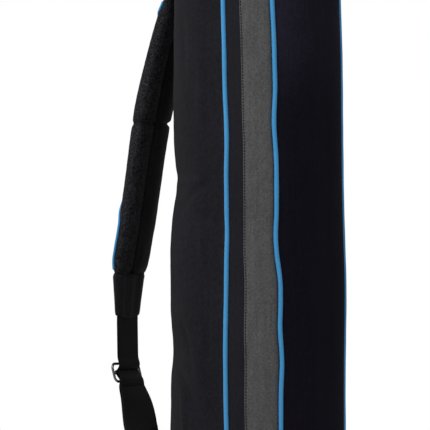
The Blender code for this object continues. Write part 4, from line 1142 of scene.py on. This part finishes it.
def turned_vectors(path, twist):
    """The directions across and away from the bag along a path, both turned about it by the twist."""
    along, out = strap_vectors(path)
    side = ACROSS * np.cos(twist)[:, None] - out * np.sin(twist)[:, None]
    return side, np.cross(side, along) * -1.0


def lower_twist(z):
    """The two runs below the glide turn together to face outwards, and turn back above the ring."""
    return math.radians(33.0) * ease(z, 0.190, 0.106) * ease(z, 0.060, 0.096)


def lower_line(z):
    """The line that the lower runs follow: the strap's own, pushed a little further from the bag."""
    y = np.mean([strap_depth(z + r) for r in np.linspace(-0.012, 0.012, 9)], axis=0)
    return y + 0.0030 * ease(z, 0.185, 0.150) * ease(z, 0.085, 0.110)


ring_rod = np.array([0.0, RING_BAR_Y + RING_DEPTH, RING_Z])
FOOT_Z = 0.098
foot = np.array([0.0, float(lower_line(np.array(FOOT_Z))), FOOT_Z])
ring_along = (foot - ring_rod) / np.linalg.norm(foot - ring_rod)
ring_out = np.array([0.0, ring_along[2], -ring_along[1]])
glide_y = float(lower_line(np.array(GLIDE_Z))) + 0.0030
glide_reach = GLIDE_BAR * math.sin(GLIDE_LEAN)


def eased_path(knots, count, reach=3):
    """Points evenly spaced along straight runs between knots, with the corners rounded by a running mean."""
    knots = np.asarray(knots, float)
    lengths = run_lengths(knots)
    at = np.linspace(0.0, lengths[-1], count)
    path = at_lengths(knots, lengths, at)
    padded = np.vstack([np.repeat(path[:1], reach, 0), path, np.repeat(path[-1:], reach, 0)])
    return np.mean([padded[i : i + count] for i in range(2 * reach + 1)], axis=0)


def bend(start, leaving, stop, arriving, hold=0.045):
    """Points on the cubic from start to stop that sets out and comes in along two directions, as a strap does."""
    t = np.linspace(0.0, 1.0, 26)[1:, None]
    leaving, arriving = (hold * way / np.linalg.norm(way) for way in (leaving, arriving))
    return ((2 * t**3 - 3 * t**2 + 1) * start + (t**3 - 2 * t**2 + t) * leaving
            + (3 * t**2 - 2 * t**3) * stop + (t**3 - t**2) * arriving)


main_z = np.linspace(SLEEVE_BOTTOM + 0.012, FOOT_Z, 120)
weave_in = -0.0036 * (hump(main_z, GLIDE_Z + glide_reach, 0.0058) + hump(main_z, GLIDE_Z - glide_reach, 0.0050))
weave_in += 0.0049 * hump(main_z, GLIDE_Z, 0.0046)
main_run = np.stack([0.0 * main_z, lower_line(main_z) + weave_in, main_z], axis=-1)
wrap_angle = np.radians(np.linspace(0.0, 180.0, 15))
wrap = ring_rod + WRAP_RADIUS * (np.cos(wrap_angle)[:, None] * ring_out - np.sin(wrap_angle)[:, None] * ring_along)
outer_foot = ring_rod + WRAP_RADIUS * ring_out
main_foot = bend(main_run[-1], main_run[-1] - main_run[-2], outer_foot, -ring_along)
main_path = eased_path(np.vstack([main_run, main_foot]), 180)
side, out = turned_vectors(main_path, lower_twist(main_path[:, 2]))
bar_at = int(np.argmin(np.abs(main_path[:, 2] - GLIDE_Z)))
main_web = webbing("main_web", main_path[: bar_at + 1], side[: bar_at + 1], out[: bar_at + 1])
bridges(main_web, "shoulder_strap", "strap_adjuster", (0.0, glide_y, SLEEVE_BOTTOM - 0.002), (0.0, glide_y, 0.214),
        "webbing", "main_webbing")
lower_web = webbing("lower_web", main_path[bar_at:], side[bar_at:], out[bar_at:])
slack_low, slack_high = (0.0, glide_y, 0.085), (0.0, glide_y, 0.150)
bridges(lower_web, "shoulder_strap", "strap_adjuster", slack_low, slack_high, "webbing")
# Painted light: the lower run is painted paler below the glide, for the light its upturned face catches.
wear_and_painted_light(lower_web, lambda x, y, z: 0.5 * ease(z, 0.190, 0.160))

inner_foot = ring_rod - WRAP_RADIUS * ring_out
SEWN_Z = 0.1648
return_z = np.linspace(FOOT_Z, GLIDE_Z - 0.0075, 80)
return_run = np.stack([0.0 * return_z, lower_line(return_z), return_z], axis=-1)
return_turn = lower_twist(return_z)
return_step = RETURN_STEP + 0.0022 * hump(return_z, GLIDE_Z - glide_reach, 0.007) - 0.0011 * hump(
    return_z, SEWN_Z, 0.0018)
return_run -= np.stack([np.sin(return_turn), np.cos(return_turn), 0.0 * return_z], axis=-1) * return_step[:, None]
bar_turn = np.radians(np.linspace(-10.0, 235.0, 16))
bar = np.array([0.0, glide_y, GLIDE_Z])
bar_wrap = bar + 0.0036 * np.stack([0.0 * bar_turn, -np.cos(bar_turn), np.sin(bar_turn)], axis=-1)
return_foot = bend(inner_foot, ring_along, return_run[0], return_run[1] - return_run[0])
return_path = eased_path(np.vstack([wrap[1:], return_foot, return_run[1:], bar_wrap]), 210, 2)
along = tangents(return_path)
twist = lower_twist(return_path[:, 2]) * ease(return_path[:, 2], GLIDE_Z - 0.004, GLIDE_Z - 0.010)
across = ACROSS * np.cos(twist)[:, None] - BEHIND * np.sin(twist)[:, None]
across = unit(across - along * np.sum(across * along, axis=1, keepdims=True))
return_web = webbing("return_web", return_path, across, np.cross(across, along))
bridges(return_web, "shoulder_strap", "strap_adjuster", slack_low, slack_high, "webbing", "return_webbing",
        "bar_loop")
# Painted light: the return run is painted paler below the glide, for the light its upturned face catches.
wear_and_painted_light(return_web, lambda x, y, z: 1.1 * ease(z, 0.190, 0.160))

seam_at = 30 + int(np.argmin(np.abs(return_path[30:, 2] - SEWN_Z)))
seam_x = np.linspace(-0.021, 0.021, 12)[:, None]
seam_face = np.cross(across, along)[seam_at]
seam_face = seam_face * -np.sign(seam_face[1])
seam_line = return_path[seam_at] + across[seam_at] * seam_x + seam_face * (WEB_THICK / 2 + 0.0001)
stitch_row("return_seam", seam_line, everywhere(seam_face, seam_line), "strap_adjuster", pitch=0.0035,
           length=BOX_STITCH)


# ---------------------------------------------------------------- the tri-glide
# A bent and welded steel slide with two slots: an outer frame of rod and a broader middle bar.

GLIDE_WIDTH, GLIDE_HEIGHT = 0.070, 0.031
glide_up = np.array([0.0, math.cos(GLIDE_LEAN), math.sin(GLIDE_LEAN)])
glide_face = np.array([0.0, -math.sin(GLIDE_LEAN), math.cos(GLIDE_LEAN)])


def rounded_loop(width, height, radius, per_corner=10):
    """Points round a rectangle with round corners, evenly enough for a rod to follow."""
    x, y = width / 2 - radius, height / 2 - radius
    corners = [(x, -y, -90.0), (x, y, 0.0), (-x, y, 90.0), (-x, -y, 180.0)]
    found = []
    for cx, cy, start in corners:
        a = np.radians(np.linspace(start, start + 90.0, per_corner))
        found.append(np.stack([cx + radius * np.cos(a), cy + radius * np.sin(a)], axis=-1))
    return np.concatenate(found)


def rod_loop(name, path, face, width, height):
    """A closed rod along a flat path; face is the normal of the plane that the path lies in."""
    face = everywhere(face, path)
    side = np.cross(tangents(path, closed=True), face)
    return swept(name, path, side, face, round_profile(width, height, 14), METAL, closed=True)


loop = rounded_loop(GLIDE_WIDTH - GLIDE_ROD, GLIDE_HEIGHT - GLIDE_ROD, 0.0075)
loop_path = bar + loop[:, :1] * ACROSS + loop[:, 1:] * glide_up
glide_frame = rod_loop("glide_frame", loop_path, glide_face, GLIDE_ROD * 1.15, GLIDE_ROD)
bar_x = np.linspace(-1.0, 1.0, 25)[:, None] * (GLIDE_WIDTH / 2 - GLIDE_ROD * 0.7)
bar_path = bar + bar_x * ACROSS
bar_width = 0.0046 + 0.0014 * hump(np.abs(bar_x[:, 0]), GLIDE_WIDTH / 2 - GLIDE_ROD, 0.003)
bar_profile = round_profile(1.0, 1.0, 12)[None] * np.stack([bar_width, np.full(25, 0.0030)], axis=-1)[:, None]
glide_bar = swept("glide_bar", bar_path, everywhere(glide_up, bar_path), everywhere(glide_face, bar_path),
                  bar_profile, METAL)
belongs(glide_frame, "strap_adjuster", "black_nickel", "tri_glide")
belongs(glide_bar, "strap_adjuster", "black_nickel")


# ---------------------------------------------------------------- the lower ring and its tab
# A welded rectangular ring of steel rod links the strap's lower end to a folded tab of the webbing that is sewn
# to the back of the tub.

RING_WIDTH, RING_CORNER = 0.064, 0.0055
ring_loop = rounded_loop(RING_WIDTH, RING_DEPTH, RING_CORNER)
ring_path = np.stack([ring_loop[:, 0], ring_loop[:, 1] + RING_BAR_Y + RING_DEPTH / 2,
                      np.full(len(ring_loop), RING_Z)], axis=-1)
ring_rod_width = 2 * RING_WIRE * 0.92
steel_ring = rod_loop("steel_ring", ring_path, UP, ring_rod_width, ring_rod_width)
belongs(steel_ring, "ring_body", "black_nickel", "lower_ring")

tab_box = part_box("lower_anchor_tab")
tab_y = tab_box[0].y + 0.0013
tab_turn = np.radians(np.linspace(0.0, 180.0, 12))
tab_wrap = np.array([0.0, RING_BAR_Y, RING_Z]) + 0.0050 * np.stack(
    [0.0 * tab_turn, np.sin(tab_turn), np.cos(tab_turn)], axis=-1)
tab_path = eased_path(np.vstack([[(0.0, tab_y, RING_Z + 0.034)], [(0.0, tab_y, RING_Z + 0.014)],
                                 [(0.0, tab_y + 0.003, RING_Z + 0.007)], tab_wrap]), 60, 1)
tab_across = everywhere(ACROSS, tab_path)
ring_tab = webbing("ring_tab", tab_path, tab_across, np.cross(tab_across, tangents(tab_path)), thickness=0.0020)
bridges(ring_tab, "bag_tub", "shoulder_strap", (0.0, tab_y, RING_Z + 0.020), (0.0, tab_y, RING_Z + 0.004),
        "webbing", "lower_anchor_tab")
tab_line = drawn_line(BOX_AND_CROSS * np.array([1.0, 0.5]) + np.array([0.0, 0.5]))
tab_stitches = np.stack([tab_line[:, 0] * 0.021, np.full(len(tab_line), tab_y + 0.0012),
                         RING_Z + 0.017 + tab_line[:, 1] * 0.014], axis=-1)
stitch_row("ring_tab_stitch", tab_stitches, everywhere(BEHIND, tab_stitches), "bag_tub", pitch=BOX_PITCH,
           length=BOX_STITCH)


# ---------------------------------------------------------------- the strap's upper end
# The webbing leaves the pad's upper sleeve, bends over the top edge of the back and is sewn down under a patch.

upper_knots = np.array([(0.0, float(strap_depth(PAD_TOP + 0.010)), PAD_TOP + 0.008),
                        (0.0, float(strap_depth(PAD_TOP + 0.016)) - 0.004, PAD_TOP + 0.018),
                        (0.0, BAG_AXIS_Y + 0.1150, 0.774), (0.0, BAG_AXIS_Y + 0.1075, 0.7930),
                        (0.0, BAG_AXIS_Y + 0.0930, 0.8068), (0.0, BAG_AXIS_Y + 0.0720, 0.8120),
                        (0.0, BAG_AXIS_Y + 0.0500, 0.8120)])
upper_path = eased_path(upper_knots, 90, 6)
_, upper_out = strap_vectors(upper_path)
upper_web = webbing("upper_web", upper_path, everywhere(ACROSS, upper_path), upper_out)
bridges(upper_web, "bag_tub", "shoulder_strap", (0.0, BAG_AXIS_Y + 0.105, 0.790), (0.0, BAG_AXIS_Y + 0.118, 0.757),
        "webbing", "upper_webbing")
sewn_patch("strap_patch", (0.0, BAG_AXIS_Y + 0.062, BAG_TOP + 0.0036), 0.062, 0.030, "upper_anchor_patch")
